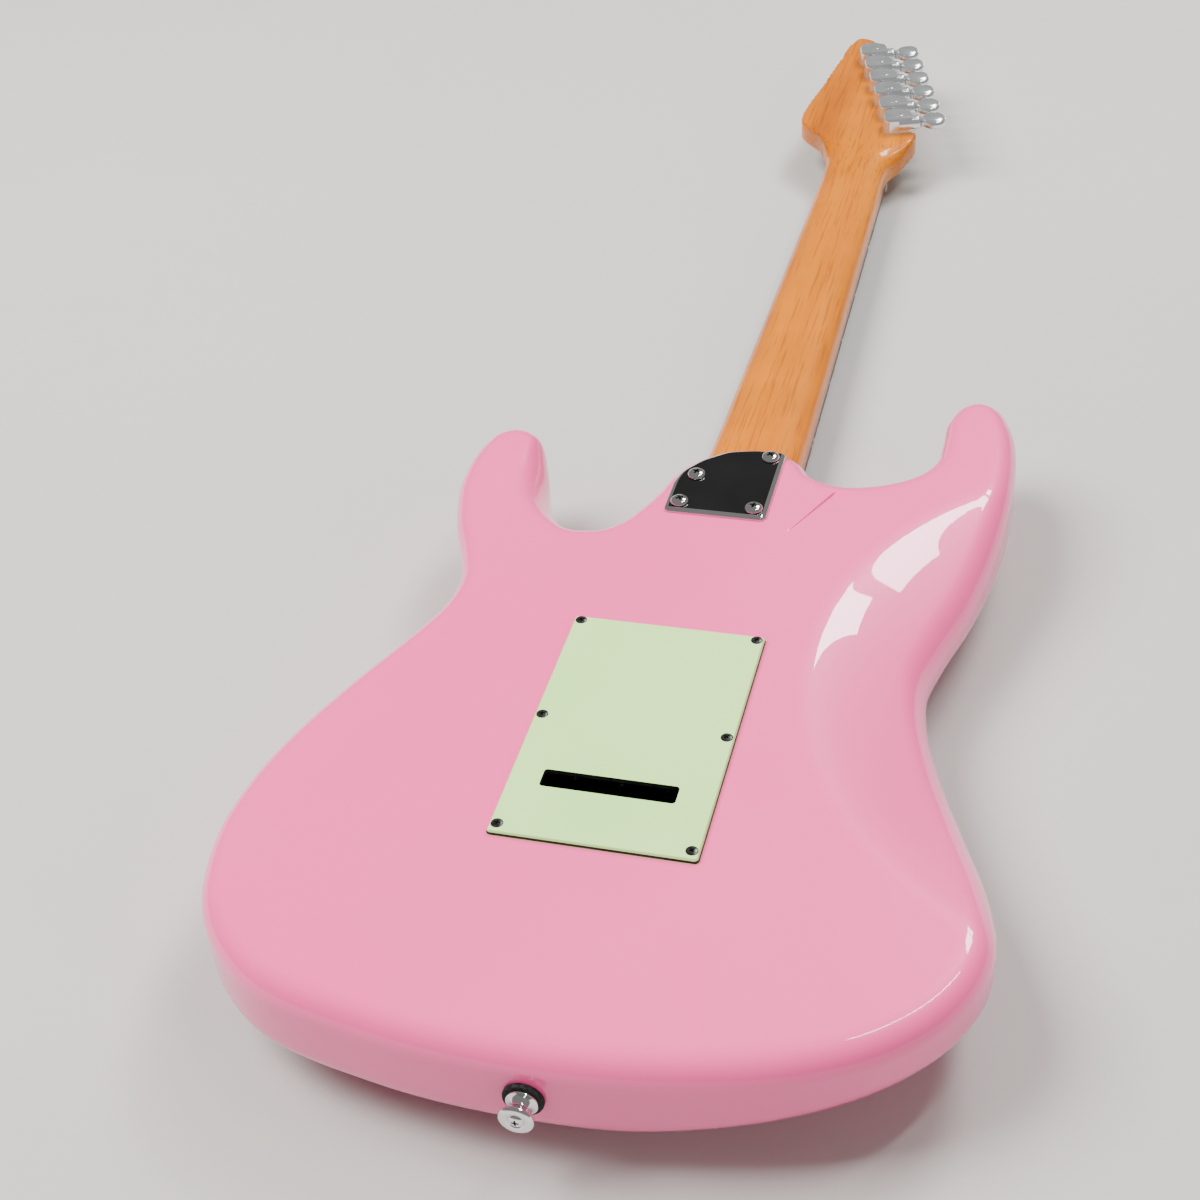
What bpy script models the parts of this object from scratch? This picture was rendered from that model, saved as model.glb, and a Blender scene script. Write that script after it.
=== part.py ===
"""Double-cutaway electric guitar with a bolt-on neck, lying face down.

Every number below is in millimetres in the luthier's frame, and place() turns it into metres.
X runs from the centre line to the bass side, Y from the string line over the bridge to the headstock,
and Z from the front of the body (0) through its back (BODY_DEPTH), so the strings are at negative Z.
ORIGIN is the point of that frame under the middle of the guitar, at the height of its lowest knob.
"""

import math

import bmesh
import bpy
from mathutils import Matrix, Vector
from mathutils.geometry import delaunay_2d_cdt

MM = 0.001
ORIGIN = Vector((1.812, 334.37, -20.0))
GAP = 0.3  # air between two pieces that touch

# Body: its outline at mid depth, clockwise from the tail as seen from the back.
BODY_DEPTH = 45.0
EDGE_RADIUS = 12.0
BODY_OUTLINE = [
    (-12, -157), (-65, -152.5), (-120, -137.5), (-152, -106.5), (-164, -65), (-162.5, -30),
    (-155, 2), (-141, 40), (-125, 77), (-115.5, 104), (-114.5, 126), (-121, 148),
    (-131, 172), (-139, 204), (-138.4, 233), (-132.4, 248.3), (-119.5, 254.8), (-106.7, 249),
    (-99.3, 234), (-92, 211), (-83, 192), (-71, 179), (-58, 174.5), (-48, 182),
    (-40.5, 196), (-35, 210), (-31.5, 223), (-24, 238), (-10, 249), (8, 252.5),
    (26, 253), (36, 247), (44, 237), (58, 232), (76, 236), (93, 247),
    (101.5, 262), (103.3, 282), (103.6, 299), (108.6, 311.8), (120, 317.5), (131.5, 312),
    (139, 297), (143.3, 272), (144, 240), (141, 205), (134, 168), (125, 135),
    (120, 108), (123, 82), (134, 48), (149, 10), (162, -27), (168, -66),
    (158, -96), (135, -121.5), (98, -141), (42, -154),
]
# Each contour is a dish cut round a vertical axis outside the rim: centre, radius, slope, softness.
BELLY_CONTOUR = ((239, 95), 177, 0.43, 20)
HORN_CONTOUR = ((-42, 226), 70, 0.75, 6)
FOREARM_CONTOUR = ((215, -150), 180, 0.138, 20)
HORN_CONTOUR_FADE = (-60, -74)  # X over which the horn's contour grows to its full depth

# Where the strap buttons stand on the rim
TAIL_BUTTON = (1, -157.1)
HORN_BUTTON = (117.5, 318.1)

# Neck
SCALE_LENGTH = 648.0
NUT_WIDTH = 42.0
HEEL_WIDTH = 56.0
HEEL_Y = 182.0
FRETBOARD_END_Y = 176.0
FRETBOARD_FACE_Z = -9.5
FRETBOARD_DEPTH = 6.0
FRETBOARD_RADIUS = 241.0
NECK_TOP_Z = FRETBOARD_FACE_Z + FRETBOARD_DEPTH + GAP
POCKET_MOUTH_Y = 275.0  # past the body, between the horns
HEEL_BACK_Z = 15.9
HEAD_FRONT_Z = 1.5
HEAD_BACK_Z = 16.0
HEAD_OUTLINE = [
    (21.2, 640), (23, 650), (30, 662), (35, 673), (36, 682), (33, 690), (28.8, 700),
    (12.5, 753), (-3.7, 806), (-10, 826), (-18, 836), (-27, 838), (-31.5, 828),
    (-35, 800), (-40, 760), (-43, 740), (-46, 718), (-47, 702), (-45, 692),
    (-39, 684), (-29, 673), (-22.5, 660), (-21.2, 650), (-21, 640),
]
NUT_DEPTH = 3.3
NUT_TOP_Z = -12.2
NUT_SLOT_Z = -10.8
NECK_PLATE = [(-25, 188), (27, 188), (27, 247), (11, 247), (-3, 243.5), (-15, 234), (-23, 223), (-25, 214)]
NECK_PLATE_DEPTH = 2.0
NECK_SCREWS = [(20, 240), (20, 195), (-18, 195), (-14.5, 219)]
NECK_SCREW_RADIUS = 2.2

# Bridge, with its knife-edge pivot on two posts
PIVOT_Y = 10.0
PIVOT_Z = -4.4
POST_X = 28.0
BRIDGE_HALF_WIDTH = 36.0
STRING_PITCH_BRIDGE = 10.5
STRING_PITCH_NUT = 7.1
STRING_DIAMETERS = [1.2, 0.95, 0.7, 0.55, 0.5, 0.45]
STRING_BRIDGE_Z = -14.2
STRING_NUT_Z = -11.1
SPRING_X = [-21.0, 0.0, 21.0]
SPRING_RADIUS = 3.8
SPRING_Z = 36.5
CAVITY_FLOOR_Z = 29.0
BLOCK_HALF_WIDTH = 34.0

# Cover over the spring cavity
COVER_CENTRE = (-0.5, 25.7)
COVER_SIZE = (92.0, 145.5)
COVER_SLOT = ((-1.5, -11.2), (60.0, 10.5))

# Pickguard and controls
PICKGUARD_DEPTH = 2.3
PICKGUARD_OUTLINE = [
    (33, 238), (46, 221), (62, 219), (80, 224), (97, 237), (110, 258), (120, 268), (124, 252),
    (119, 222), (107, 188), (91, 158), (79, 130), (72, 98), (64, 62), (52, 22), (30, 4),
    (-20, -10), (-46, -46), (-56, -74), (-70, -86), (-86, -84), (-98, -70), (-101, -40),
    (-105, 0), (-105, 40), (-99, 76), (-95, 106), (-97, 140), (-107, 176), (-118, 208),
    (-120, 232), (-112, 232), (-104, 212), (-94, 188), (-78, 167), (-58, 160), (-41, 170),
    (-31, 192), (-25, 212), (0, 215),
]
PICKUPS = [("neck_pickup", 152.0, 0.0), ("middle_pickup", 97.0, 0.0), ("bridge_pickup", 42.0, 8.0)]
PICKUP_SIZE = (70.0, 18.0)
KNOBS = [("volume_knob", -60, 10), ("tone_knob_1", -78, -24), ("tone_knob_2", -80, -60)]
SELECTOR = (-84, 50)
SELECTOR_ANGLE = 24.0  # degrees from the strings
SELECTOR_PIVOT_Z = 12.0
CONTROL_CAVITY = [
    (-40, 40), (-47, -4), (-58, -46), (-64, -72), (-80, -76), (-92, -62), (-95, -24),
    (-98, 30), (-98, 66), (-88, 78), (-66, 72), (-46, 56),
]
JACK_CENTRE = (-121, -82)
JACK_ANGLE = 78.0

# Tuning machines, in a row that runs up the bass edge of the head
TUNER_FIRST = (20.3, 690.4)
TUNER_STEP = (-6.57, 21.41)
TUNER_SHAFT_OFFSET = -6.5
TUNER_SHAFT_Z = 22.0

PINK = ("pink_lacquer", (0.86, 0.36, 0.50), 0.12, 0.0)
MAPLE = ("roasted_maple", (0.62, 0.30, 0.09), 0.25, 0.0)
ROSEWOOD = ("dark_fretboard", (0.07, 0.035, 0.02), 0.5, 0.0)
BONE = ("bone", (0.85, 0.80, 0.68), 0.4, 0.0)
MINT = ("mint_plastic", (0.66, 0.80, 0.60), 0.35, 0.0)
CHROME = ("chrome", (0.80, 0.80, 0.82), 0.12, 1.0)
STEEL = ("steel", (0.56, 0.57, 0.58), 0.3, 1.0)


def material(finish):
    """The material of this finish, made on its first use."""
    name, colour, roughness, metallic = finish
    found = bpy.data.materials.get(name)
    if found:
        return found
    made = bpy.data.materials.new(name)
    made.use_nodes = True
    shader = made.node_tree.nodes["Principled BSDF"]
    shader.inputs["Base Color"].default_value = (*colour, 1.0)
    shader.inputs["Roughness"].default_value = roughness
    shader.inputs["Metallic"].default_value = metallic
    made.diffuse_color = (*colour, 1.0)
    return made


def smooth_loop(points, steps):
    """Closed centripetal Catmull-Rom curve through the points, with this many points to each span."""
    knots = [Vector(p) for p in points]
    count = len(knots)
    curve = []
    for i in range(count):
        p0, p1, p2, p3 = (knots[(i + k) % count] for k in (-1, 0, 1, 2))
        t0 = 0.0
        t1 = t0 + math.sqrt((p1 - p0).length)
        t2 = t1 + math.sqrt((p2 - p1).length)
        t3 = t2 + math.sqrt((p3 - p2).length)
        for step in range(steps):
            s = t1 + (t2 - t1) * step / steps

            def mix(a, b, ta, tb):
                return a * ((tb - s) / (tb - ta)) + b * ((s - ta) / (tb - ta))

            first = mix(mix(p0, p1, t0, t1), mix(p1, p2, t1, t2), t0, t2)
            second = mix(mix(p1, p2, t1, t2), mix(p2, p3, t2, t3), t1, t3)
            curve.append(mix(first, second, t1, t2))
    return curve


def rounded_rectangle(centre, size, radius, steps=3):
    """Outline of a rectangle with round corners, counter-clockwise."""
    half_x = size[0] / 2 - radius
    half_y = size[1] / 2 - radius
    outline = []
    for quarter, (sx, sy) in enumerate(((1, 1), (-1, 1), (-1, -1), (1, -1))):
        for step in range(steps + 1):
            angle = math.radians(90 * (quarter + step / steps))
            x = centre[0] + sx * half_x + radius * math.cos(angle)
            y = centre[1] + sy * half_y + radius * math.sin(angle)
            outline.append(Vector((x, y)))
    return outline


def turned(outline, centre, degrees):
    """The outline turned about a point."""
    turn = Matrix.Rotation(math.radians(degrees), 2)
    middle = Vector(centre)
    return [middle + turn @ (Vector(p) - middle) for p in outline]


def skin(rings):
    """Closed solid over a stack of rings with the same number of points."""
    solid = bmesh.new()
    loops = [[solid.verts.new(p) for p in ring] for ring in rings]
    count = len(loops[0])
    for low, high in zip(loops, loops[1:]):
        for i in range(count):
            j = (i + 1) % count
            solid.faces.new((low[i], low[j], high[j], high[i]))
    solid.faces.new(loops[0])
    solid.faces.new(loops[-1])
    return solid


def prism(outline, low, high):
    """The outline extruded along Z."""
    return skin([[(x, y, z) for x, y in outline] for z in (low, high)])


def bar(profile, left, right):
    """A profile in Y and Z extruded along X."""
    return skin([[(x, y, z) for y, z in profile] for x in (left, right)])


def box(low, high):
    """Cuboid between two corners."""
    outline = [(low[0], low[1]), (high[0], low[1]), (high[0], high[1]), (low[0], high[1])]
    return prism(outline, low[2], high[2])


def lathe(profile, sides=16, matrix=None):
    """A profile of (radius, height) turned about Z, then moved by the matrix."""
    angles = [2 * math.pi * i / sides for i in range(sides)]
    solid = skin([[(r * math.cos(a), r * math.sin(a), h) for a in angles] for r, h in profile])
    if matrix:
        solid.transform(matrix)
    return solid


def joined(solids):
    """Several solids in one mesh, for cutting."""
    whole = solids[0]
    for other in solids[1:]:
        mesh = bpy.data.meshes.new("joined")
        other.to_mesh(mesh)
        other.free()
        whole.from_mesh(mesh)
        bpy.data.meshes.remove(mesh)
    return whole


def place(name, solid, finish, pivot=(0, 0, 0)):
    """Turns a solid in millimetres into an object in metres, with its origin on the pivot."""
    bmesh.ops.recalc_face_normals(solid, faces=solid.faces)
    solid.transform(Matrix.Scale(MM, 4) @ Matrix.Translation(-Vector(pivot)))
    mesh = bpy.data.meshes.new(name)
    solid.to_mesh(mesh)
    solid.free()
    mesh.materials.append(material(finish))
    mesh.shade_smooth()
    mesh.set_sharp_from_angle(angle=math.radians(35))
    obj = bpy.data.objects.new(name, mesh)
    obj.location = (Vector(pivot) - ORIGIN) * MM
    bpy.context.scene.collection.objects.link(obj)
    return obj


def boolean(obj, solid, operation="DIFFERENCE"):
    """Cuts a solid out of an object, or adds it."""
    tool = place(f"{obj.name}_tool_{len(obj.modifiers) + 1}", solid, STEEL)
    tool.hide_render = True
    tool.display_type = "WIRE"
    modifier = obj.modifiers.new("Boolean", "BOOLEAN")
    modifier.operation = operation
    modifier.object = tool


def dished(point, contour):
    """Depth of a contour at a point: nothing outside its circle, then ever steeper to a plain slope."""
    centre, radius, slope, softness = contour
    inside = radius - math.dist(point, centre)
    if inside <= 0:
        return 0.0
    return slope * inside * inside / (inside + softness)


def back_z(x, y):
    """Height of the body's back, with the belly contour and the treble horn's contour."""
    fade_start, fade_end = HORN_CONTOUR_FADE
    share = min(max((x - fade_start) / (fade_end - fade_start), 0.0), 1.0)
    return BODY_DEPTH - dished((x, y), BELLY_CONTOUR) - share * dished((x, y), HORN_CONTOUR)


def front_z(x, y):
    """Height of the body's front, with the forearm contour."""
    return dished((x, y), FOREARM_CONTOUR)


def inside_loop(x, y, loop):
    """Whether a point lies inside a closed loop, by counting the crossings to its right."""
    crossings = 0
    for a, b in zip(loop, loop[1:] + loop[:1]):
        if (a.y > y) != (b.y > y) and x < a.x + (y - a.y) / (b.y - a.y) * (b.x - a.x):
            crossings += 1
    return crossings % 2 == 1


def cap_points(loop, spacing):
    """Grid points inside the loop, well clear of it."""
    xs = [p.x for p in loop]
    ys = [p.y for p in loop]
    points = []
    for i in range(int(min(xs) // spacing), int(max(xs) // spacing) + 1):
        for j in range(int(min(ys) // spacing), int(max(ys) // spacing) + 1):
            spot = Vector((i * spacing, j * spacing))
            if inside_loop(spot.x, spot.y, loop) and min((spot - p).length for p in loop) > spacing / 2:
                points.append(spot)
    return points


def body_solid():
    """The body with both contours and rounded edges, before any rout."""
    rim = smooth_loop(BODY_OUTLINE, 2)
    count = len(rim)
    inward = []
    for i, p in enumerate(rim):
        along = (rim[(i + 1) % count] - rim[i - 1]).normalized()
        inward.append(Vector((along.y, -along.x)))
    solid = bmesh.new()
    loops = []
    quarter_steps = 3
    turns = [90 * step / quarter_steps for step in range(quarter_steps + 1)]
    for surface, side, angles in ((front_z, 1, turns), (back_z, -1, turns[::-1])):
        for angle in angles:
            inset = EDGE_RADIUS * (1 - math.sin(math.radians(angle)))
            rise = EDGE_RADIUS * (1 - math.cos(math.radians(angle)))
            spots = [p + n * inset for p, n in zip(rim, inward)]
            loops.append([solid.verts.new((s.x, s.y, surface(s.x, s.y) + side * rise)) for s in spots])
    for low, high in zip(loops, loops[1:]):
        for i in range(count):
            j = (i + 1) % count
            solid.faces.new((low[i], low[j], high[j], high[i]))
    for loop, surface in ((loops[0], front_z), (loops[-1], back_z)):
        flat = [Vector((v.co.x, v.co.y)) for v in loop]
        extra = cap_points(flat, 26.0)
        verts = loop + [solid.verts.new((p.x, p.y, surface(p.x, p.y))) for p in extra]
        edges = [(i, (i + 1) % count) for i in range(count)]
        found = delaunay_2d_cdt(flat + extra, edges, [], 1, 0.0001)
        source = [verts[origins[0]] for origins in found[3]]
        for face in found[2]:
            solid.faces.new([source[i] for i in face])
    return solid


def neck_half_width(y):
    """Half the neck's width, which tapers evenly from the heel to the nut."""
    share = (y - HEEL_Y) / (SCALE_LENGTH - HEEL_Y)
    return (HEEL_WIDTH + (NUT_WIDTH - HEEL_WIDTH) * share) / 2


def neck_ring(y, half_width, top, back, power, arc_steps=12):
    """Section of the neck: a flat top, short straight sides and a back from boxy (high power) to round."""
    shoulder = top + 0.25 * (back - top)
    ring = [(half_width, y, top), (-half_width, y, top)]
    for step in range(arc_steps + 1):
        angle = math.pi * step / arc_steps
        x = -math.copysign(abs(math.cos(angle)) ** (2 / power), math.cos(angle)) * half_width
        z = shoulder + (back - shoulder) * math.sin(angle) ** (2 / power)
        ring.append((x, y, z))
    return ring


def make_body():
    body = place("body", body_solid(), PINK)
    heel = neck_half_width(HEEL_Y) + GAP
    mouth = neck_half_width(POCKET_MOUTH_Y) + GAP
    wall = [(-heel, HEEL_Y - GAP), (heel, HEEL_Y - GAP), (mouth, POCKET_MOUTH_Y), (-mouth, POCKET_MOUTH_Y)]
    boolean(body, prism(wall, -5, HEEL_BACK_Z + GAP))
    boolean(body, box((-38, -28, -5), (38, 3, BODY_DEPTH + 5)))
    boolean(body, box((-30, -3, CAVITY_FLOOR_Z), (30, 93, BODY_DEPTH + 5)))
    for _, y, slant in PICKUPS:
        outline = turned(rounded_rectangle((0, y), (92, 27), 5), (0, y), slant)
        boolean(body, prism(outline, -5, 19))
    boolean(body, box((-6, 50, -5), (6, 150, 16)))
    boolean(body, prism(CONTROL_CAVITY, -5, 38))
    holes = [lathe([(4.6, -5), (4.6, 20)], 12, Matrix.Translation((x, PIVOT_Y, 0))) for x in (-POST_X, POST_X)]
    holes.append(lathe([(12, -5), (12, 30)], 20, Matrix.Translation((*JACK_CENTRE, 0))))
    holes += [
        lathe([(NECK_SCREW_RADIUS + GAP, 5), (NECK_SCREW_RADIUS + GAP, 50)], 12, Matrix.Translation((x, y, 0)))
        for x, y in NECK_SCREWS
    ]
    holes += [lathe([(2.5, -25), (2.5, 5)], 12, matrix) for matrix in strap_places()]
    boolean(body, joined(holes))


def make_neck():
    shaft = []
    for y, back, power in (
        (HEEL_Y, HEEL_BACK_Z, 9), (252, HEEL_BACK_Z, 9), (262, 15.2, 6), (274, 13.8, 3.6), (290, 13.3, 2.6),
        (330, 13.2, 2.3), (480, 12.8, 2.2), (610, 12.3, 2.2), (634, 12.4, 2.2), (645, 13.2, 2.3),
    ):
        shaft.append(neck_ring(y, neck_half_width(y), NECK_TOP_Z, back, power))
    half = NUT_WIDTH / 2
    for y, top, back, power in (
        (652, NECK_TOP_Z, 14.2, 2.4), (658, NECK_TOP_Z + 1.2, 15.0, 2.6), (668, 0.2, 15.6, 3), (680, 2.5, 15.0, 3),
    ):
        shaft.append(neck_ring(y, half, top, back, power))
    neck = place("neck", skin(shaft), MAPLE)
    boolean(neck, prism(smooth_loop(HEAD_OUTLINE, 2), HEAD_FRONT_Z, HEAD_BACK_Z), "UNION")
    holes = [lathe([(3.4, -5), (3.4, 20)], 12, tuner_place(i)) for i in range(6)]
    holes += [
        lathe([(NECK_SCREW_RADIUS + GAP, 0), (NECK_SCREW_RADIUS + GAP, 20)], 12, Matrix.Translation((x, y, 0)))
        for x, y in NECK_SCREWS
    ]
    boolean(neck, joined(holes))


def make_fretboard():
    rings = []
    bottom = FRETBOARD_FACE_Z + FRETBOARD_DEPTH
    for y in (FRETBOARD_END_Y, SCALE_LENGTH):
        half = neck_half_width(y)
        ring = [(half, y, bottom), (-half, y, bottom)]
        for share in (-1, -0.6, -0.2, 0.2, 0.6, 1):
            x = half * share
            ring.append((x, y, FRETBOARD_FACE_Z + x * x / (2 * FRETBOARD_RADIUS)))
        rings.append(ring)
    place("fretboard", skin(rings), ROSEWOOD)


def string_x(index, pitch):
    """Where a string runs, counted from the bass side."""
    return pitch * (2.5 - index)


def make_nut():
    low = SCALE_LENGTH + GAP
    high = low + NUT_DEPTH
    nut = place("nut", box((-NUT_WIDTH / 2, low, NUT_TOP_Z), (NUT_WIDTH / 2, high, NECK_TOP_Z - GAP)), BONE)
    slots = []
    for i, diameter in enumerate(STRING_DIAMETERS):
        x = string_x(i, STRING_PITCH_NUT)
        half = diameter / 2 + GAP
        slots.append(box((x - half, low - 1, NUT_TOP_Z - 1), (x + half, high + 1, NUT_SLOT_Z)))
    boolean(nut, joined(slots))


def make_neck_joint():
    low = BODY_DEPTH + GAP
    top = low + NECK_PLATE_DEPTH
    plate = place("neck_plate", prism(NECK_PLATE, low, top), CHROME)
    hole = NECK_SCREW_RADIUS + GAP
    boolean(plate, joined([
        lathe([(hole, low - 1), (hole, top + 1)], 12, Matrix.Translation((x, y, 0))) for x, y in NECK_SCREWS
    ]))
    head = top + GAP
    for i, (x, y) in enumerate(NECK_SCREWS, start=1):
        shank = NECK_SCREW_RADIUS
        profile = [(0.8, 1.5), (shank, 4), (shank, head), (4.6, head), (4.3, head + 1.4), (2.4, head + 2.6)]
        place(f"neck_screw_{i}", lathe(profile, 12, Matrix.Translation((x, y, 0))), CHROME)


def strap_places():
    """Matrices whose +Z points out of the body's side where a strap button stands."""
    tail = Matrix.Translation((*TAIL_BUTTON, BODY_DEPTH / 2)) @ Matrix.Rotation(math.radians(90), 4, "X")
    horn = Matrix.Translation((*HORN_BUTTON, BODY_DEPTH / 2)) @ Matrix.Rotation(math.radians(-90), 4, "X")
    return tail, horn


def make_strap_buttons():
    profile = [
        (2.1, -20), (2.1, GAP), (6.4, GAP), (6.4, 1.8), (4.4, 3.2), (3.9, 6.0), (5.2, 8.6), (7.2, 9.6), (7.0, 11.2),
        (4.8, 12.2),
    ]
    for name, matrix in zip(("strap_button_tail", "strap_button_horn"), strap_places()):
        place(name, lathe(profile, 16, matrix), CHROME)


def make_tremolo_cover():
    low = BODY_DEPTH + GAP
    cover = place("tremolo_cover", prism(rounded_rectangle(COVER_CENTRE, COVER_SIZE, 2), low, low + 2.3), MINT)
    boolean(cover, prism(rounded_rectangle(*COVER_SLOT, 1.5), low - 1, low + 4))


def make_springs():
    claw_profile = [(82, 31), (84, 31), (84, 42), (82, 42)]
    place("spring_claw", bar(claw_profile, -27, 27), STEEL)
    hook_y = -4.4  # inside the air gap behind the block
    along = Matrix.Rotation(math.radians(-90), 4, "X")
    for i, x in enumerate(SPRING_X, start=1):
        profile = [(1.2, 0), (1.2, 4), (SPRING_RADIUS, 7), (SPRING_RADIUS, 78), (1.2, 82), (1.2, 86)]
        matrix = Matrix.Translation((x, hook_y, SPRING_Z)) @ along
        place(f"tremolo_spring_{i}", lathe(profile, 10, matrix), STEEL)


def make_bridge():
    pivot = (0, PIVOT_Y, PIVOT_Z)
    plate = [(6.5, -3.4), (-26, -3.4), (-26, -12.6), (-24, -12.6), (-24, -5.4), (6.5, -5.4)]
    place("bridge_plate", bar(plate, -BRIDGE_HALF_WIDTH, BRIDGE_HALF_WIDTH), CHROME, pivot)
    block = [(-5, -3.1), (-18, -3.1), (-17, 38), (-6, 38)]
    place("tremolo_block", bar(block, -BLOCK_HALF_WIDTH, BLOCK_HALF_WIDTH), STEEL, pivot)
    for i in range(6):
        x = string_x(i, STRING_PITCH_BRIDGE)
        profile = [(1.5, -5.7), (-17, -5.7), (-17, -11.8), (-13, -13.6), (0.6, -13.9), (1.5, -13)]
        saddle = place(f"saddle_{i + 1}", bar(profile, x - 5.1, x + 5.1), CHROME, pivot)
        boolean(saddle, box((x - 2, -13, -20), (x + 2, -0.9, 0)))
    for side, x in (("bass", POST_X), ("treble", -POST_X)):
        profile = [(4.2, 18), (4.2, -2.2), (3.2, -2.6), (3.2, -6.2), (4.75, -6.3), (4.75, -8.6), (4.0, -9.2)]
        place(f"pivot_post_{side}", lathe(profile, 16, Matrix.Translation((x, PIVOT_Y, 0))), CHROME)


def make_pickguard():
    outer = -GAP - PICKGUARD_DEPTH
    guard = place("pickguard", prism(smooth_loop(PICKGUARD_OUTLINE, 2), -GAP, outer), MINT)
    half = neck_half_width(HEEL_Y) + GAP
    boolean(guard, box((-half, HEEL_Y - GAP, -6), (half, 280, 3)))
    boolean(guard, box((-41, -60, -6), (60, 15.5, 3)))
    openings = []
    for _, y, slant in PICKUPS:
        size = (PICKUP_SIZE[0] + 2 * GAP, PICKUP_SIZE[1] + 2 * GAP)
        outline = rounded_rectangle((0, y), size, size[1] / 2, 4)
        openings.append(prism(turned(outline, (0, y), slant), -6, 3))
    openings += [lathe([(3.8, -6), (3.8, 3)], 12, Matrix.Translation((x, y, 0))) for _, x, y in KNOBS]
    slot = rounded_rectangle(SELECTOR, (4.0, 30.0), 1.9)
    openings.append(prism(turned(slot, SELECTOR, -SELECTOR_ANGLE), -6, 3))
    boolean(guard, joined(openings))


def make_pickups():
    for name, y, slant in PICKUPS:
        outline = turned(rounded_rectangle((0, y), PICKUP_SIZE, PICKUP_SIZE[1] / 2, 4), (0, y), slant)
        place(name, prism(outline, 12, -7.4), MINT)


def make_controls():
    for name, x, y in KNOBS:
        profile = [(3.2, 8), (3.2, -3.5), (12.6, -3.5), (12.4, -6.5), (9.0, -8.4), (8.2, -19.4), (7.4, -20.0)]
        place(name, lathe(profile, 20, Matrix.Translation((x, y, 0))), MINT, (x, y, -10))
    seat = Matrix.Translation((*SELECTOR, 0)) @ Matrix.Rotation(math.radians(-SELECTOR_ANGLE), 4, "Z")
    switch = box((-5, -20, 4.5), (5, 20, 24))
    switch.transform(seat)
    body = place("selector_switch", switch, STEEL)
    well = box((-2.4, -16, 0), (2.4, 16, 17))
    well.transform(seat)
    boolean(body, well)
    arm = [
        (2.5, 14), (-2.5, 14), (-1.5, -4), (-3.2, -5), (-2.6, -16), (-1.8, -17), (1.8, -17), (2.6, -16), (3.2, -5),
        (1.5, -4),
    ]
    lever = bar(arm, -0.9, 0.9)
    lever.transform(seat)
    pivot = (*SELECTOR, SELECTOR_PIVOT_Z)
    place("selector_lever", lever, MINT, pivot)


def make_jack():
    outline = turned(rounded_rectangle(JACK_CENTRE, (76, 28), 13.5, 5), JACK_CENTRE, JACK_ANGLE)
    seat = Matrix.Translation((*JACK_CENTRE, 0))
    jack = place("output_jack", prism(outline, -GAP, -GAP - 1.6), CHROME)
    boolean(jack, lathe([(6.5, -4), (6.5, 22)], 20, seat), "UNION")
    boolean(jack, lathe([(3.6, -8), (3.6, 26)], 16, seat))


def tuner_place(index):
    """Tuner frame: X runs up the head along the row, Y out to the button, and its origin is on the post's axis."""
    row = Vector(TUNER_STEP).normalized()
    post = Vector(TUNER_FIRST) + index * Vector(TUNER_STEP)
    turn = Matrix(((row.x, row.y, 0, 0), (row.y, -row.x, 0, 0), (0, 0, 1, 0), (0, 0, 0, 1)))
    return Matrix.Translation((*post, 0)) @ turn


def button_ring(y, half_wide, half_thick, sides=14):
    """Oval section of a tuner button."""
    angles = [2 * math.pi * i / sides for i in range(sides)]
    return [
        (TUNER_SHAFT_OFFSET + half_wide * math.cos(a), y, TUNER_SHAFT_Z + half_thick * math.sin(a)) for a in angles
    ]


def make_tuner(index):
    seat = tuner_place(index)
    number = index + 1
    low = HEAD_BACK_Z + GAP
    outline = rounded_rectangle((-1.2, 1.5), (19.5, 21), 4)
    case = prism(outline, low, 26.8)
    case.transform(seat)
    case = place(f"tuner_housing_{number}", case, CHROME)
    across = Matrix.Translation((TUNER_SHAFT_OFFSET, 0, TUNER_SHAFT_Z)) @ Matrix.Rotation(math.radians(-90), 4, "X")
    boolean(case, lathe([(5.0, 2), (5.0, 15), (4.2, 16)], 14, seat @ across), "UNION")
    boolean(case, joined([
        lathe([(2.6, 6), (2.6, 20)], 12, seat @ across),
        lathe([(3.5, 10), (3.5, 24)], 12, seat),
    ]))
    post = lathe([(3.1, 23.6), (3.1, -3.5), (2.6, -4.5), (2.6, -6.5), (3.1, -7.5), (3.1, -12), (2.6, -12.5)], 12, seat)
    place(f"string_post_{number}", post, CHROME, seat.translation)
    rings = [button_ring(y, wide, thick) for y, wide, thick in (
        (6.4, 2.2, 2.2), (18, 2.2, 2.2), (18.4, 4, 3.4), (21, 8, 4), (25.5, 9.2, 4.3), (30, 8.4, 4), (33, 5.5, 3),
    )]
    button = skin(rings)
    button.transform(seat)
    place(f"tuner_button_{number}", button, CHROME, seat @ Vector((TUNER_SHAFT_OFFSET, 12, TUNER_SHAFT_Z)))


def make_string(index):
    radius = STRING_DIAMETERS[index] / 2
    at_bridge = string_x(index, STRING_PITCH_BRIDGE)
    at_nut = string_x(index, STRING_PITCH_NUT)
    post = tuner_place(index) @ Vector((0, -3.1 - GAP - radius, -5.5))
    crown_z = STRING_BRIDGE_Z - radius
    nut_z = STRING_NUT_Z - radius
    route = [(at_bridge, -9, -6.2), (at_bridge, -1.9, crown_z), (at_nut, SCALE_LENGTH + GAP, nut_z),
             (at_nut, SCALE_LENGTH + GAP + NUT_DEPTH, nut_z), tuple(post)]
    curve = bpy.data.curves.new(f"string_{index + 1}", "CURVE")
    curve.dimensions = "3D"
    spline = curve.splines.new("POLY")
    spline.points.add(len(route) - 1)
    for point, spot in zip(spline.points, route):
        point.co = (*((Vector(spot) - ORIGIN) * MM), 1)
    curve.bevel_depth = radius * MM
    curve.bevel_resolution = 1
    curve.use_fill_caps = True
    curve.materials.append(material(STEEL))
    bpy.context.scene.collection.objects.link(bpy.data.objects.new(f"string_{index + 1}", curve))


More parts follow.
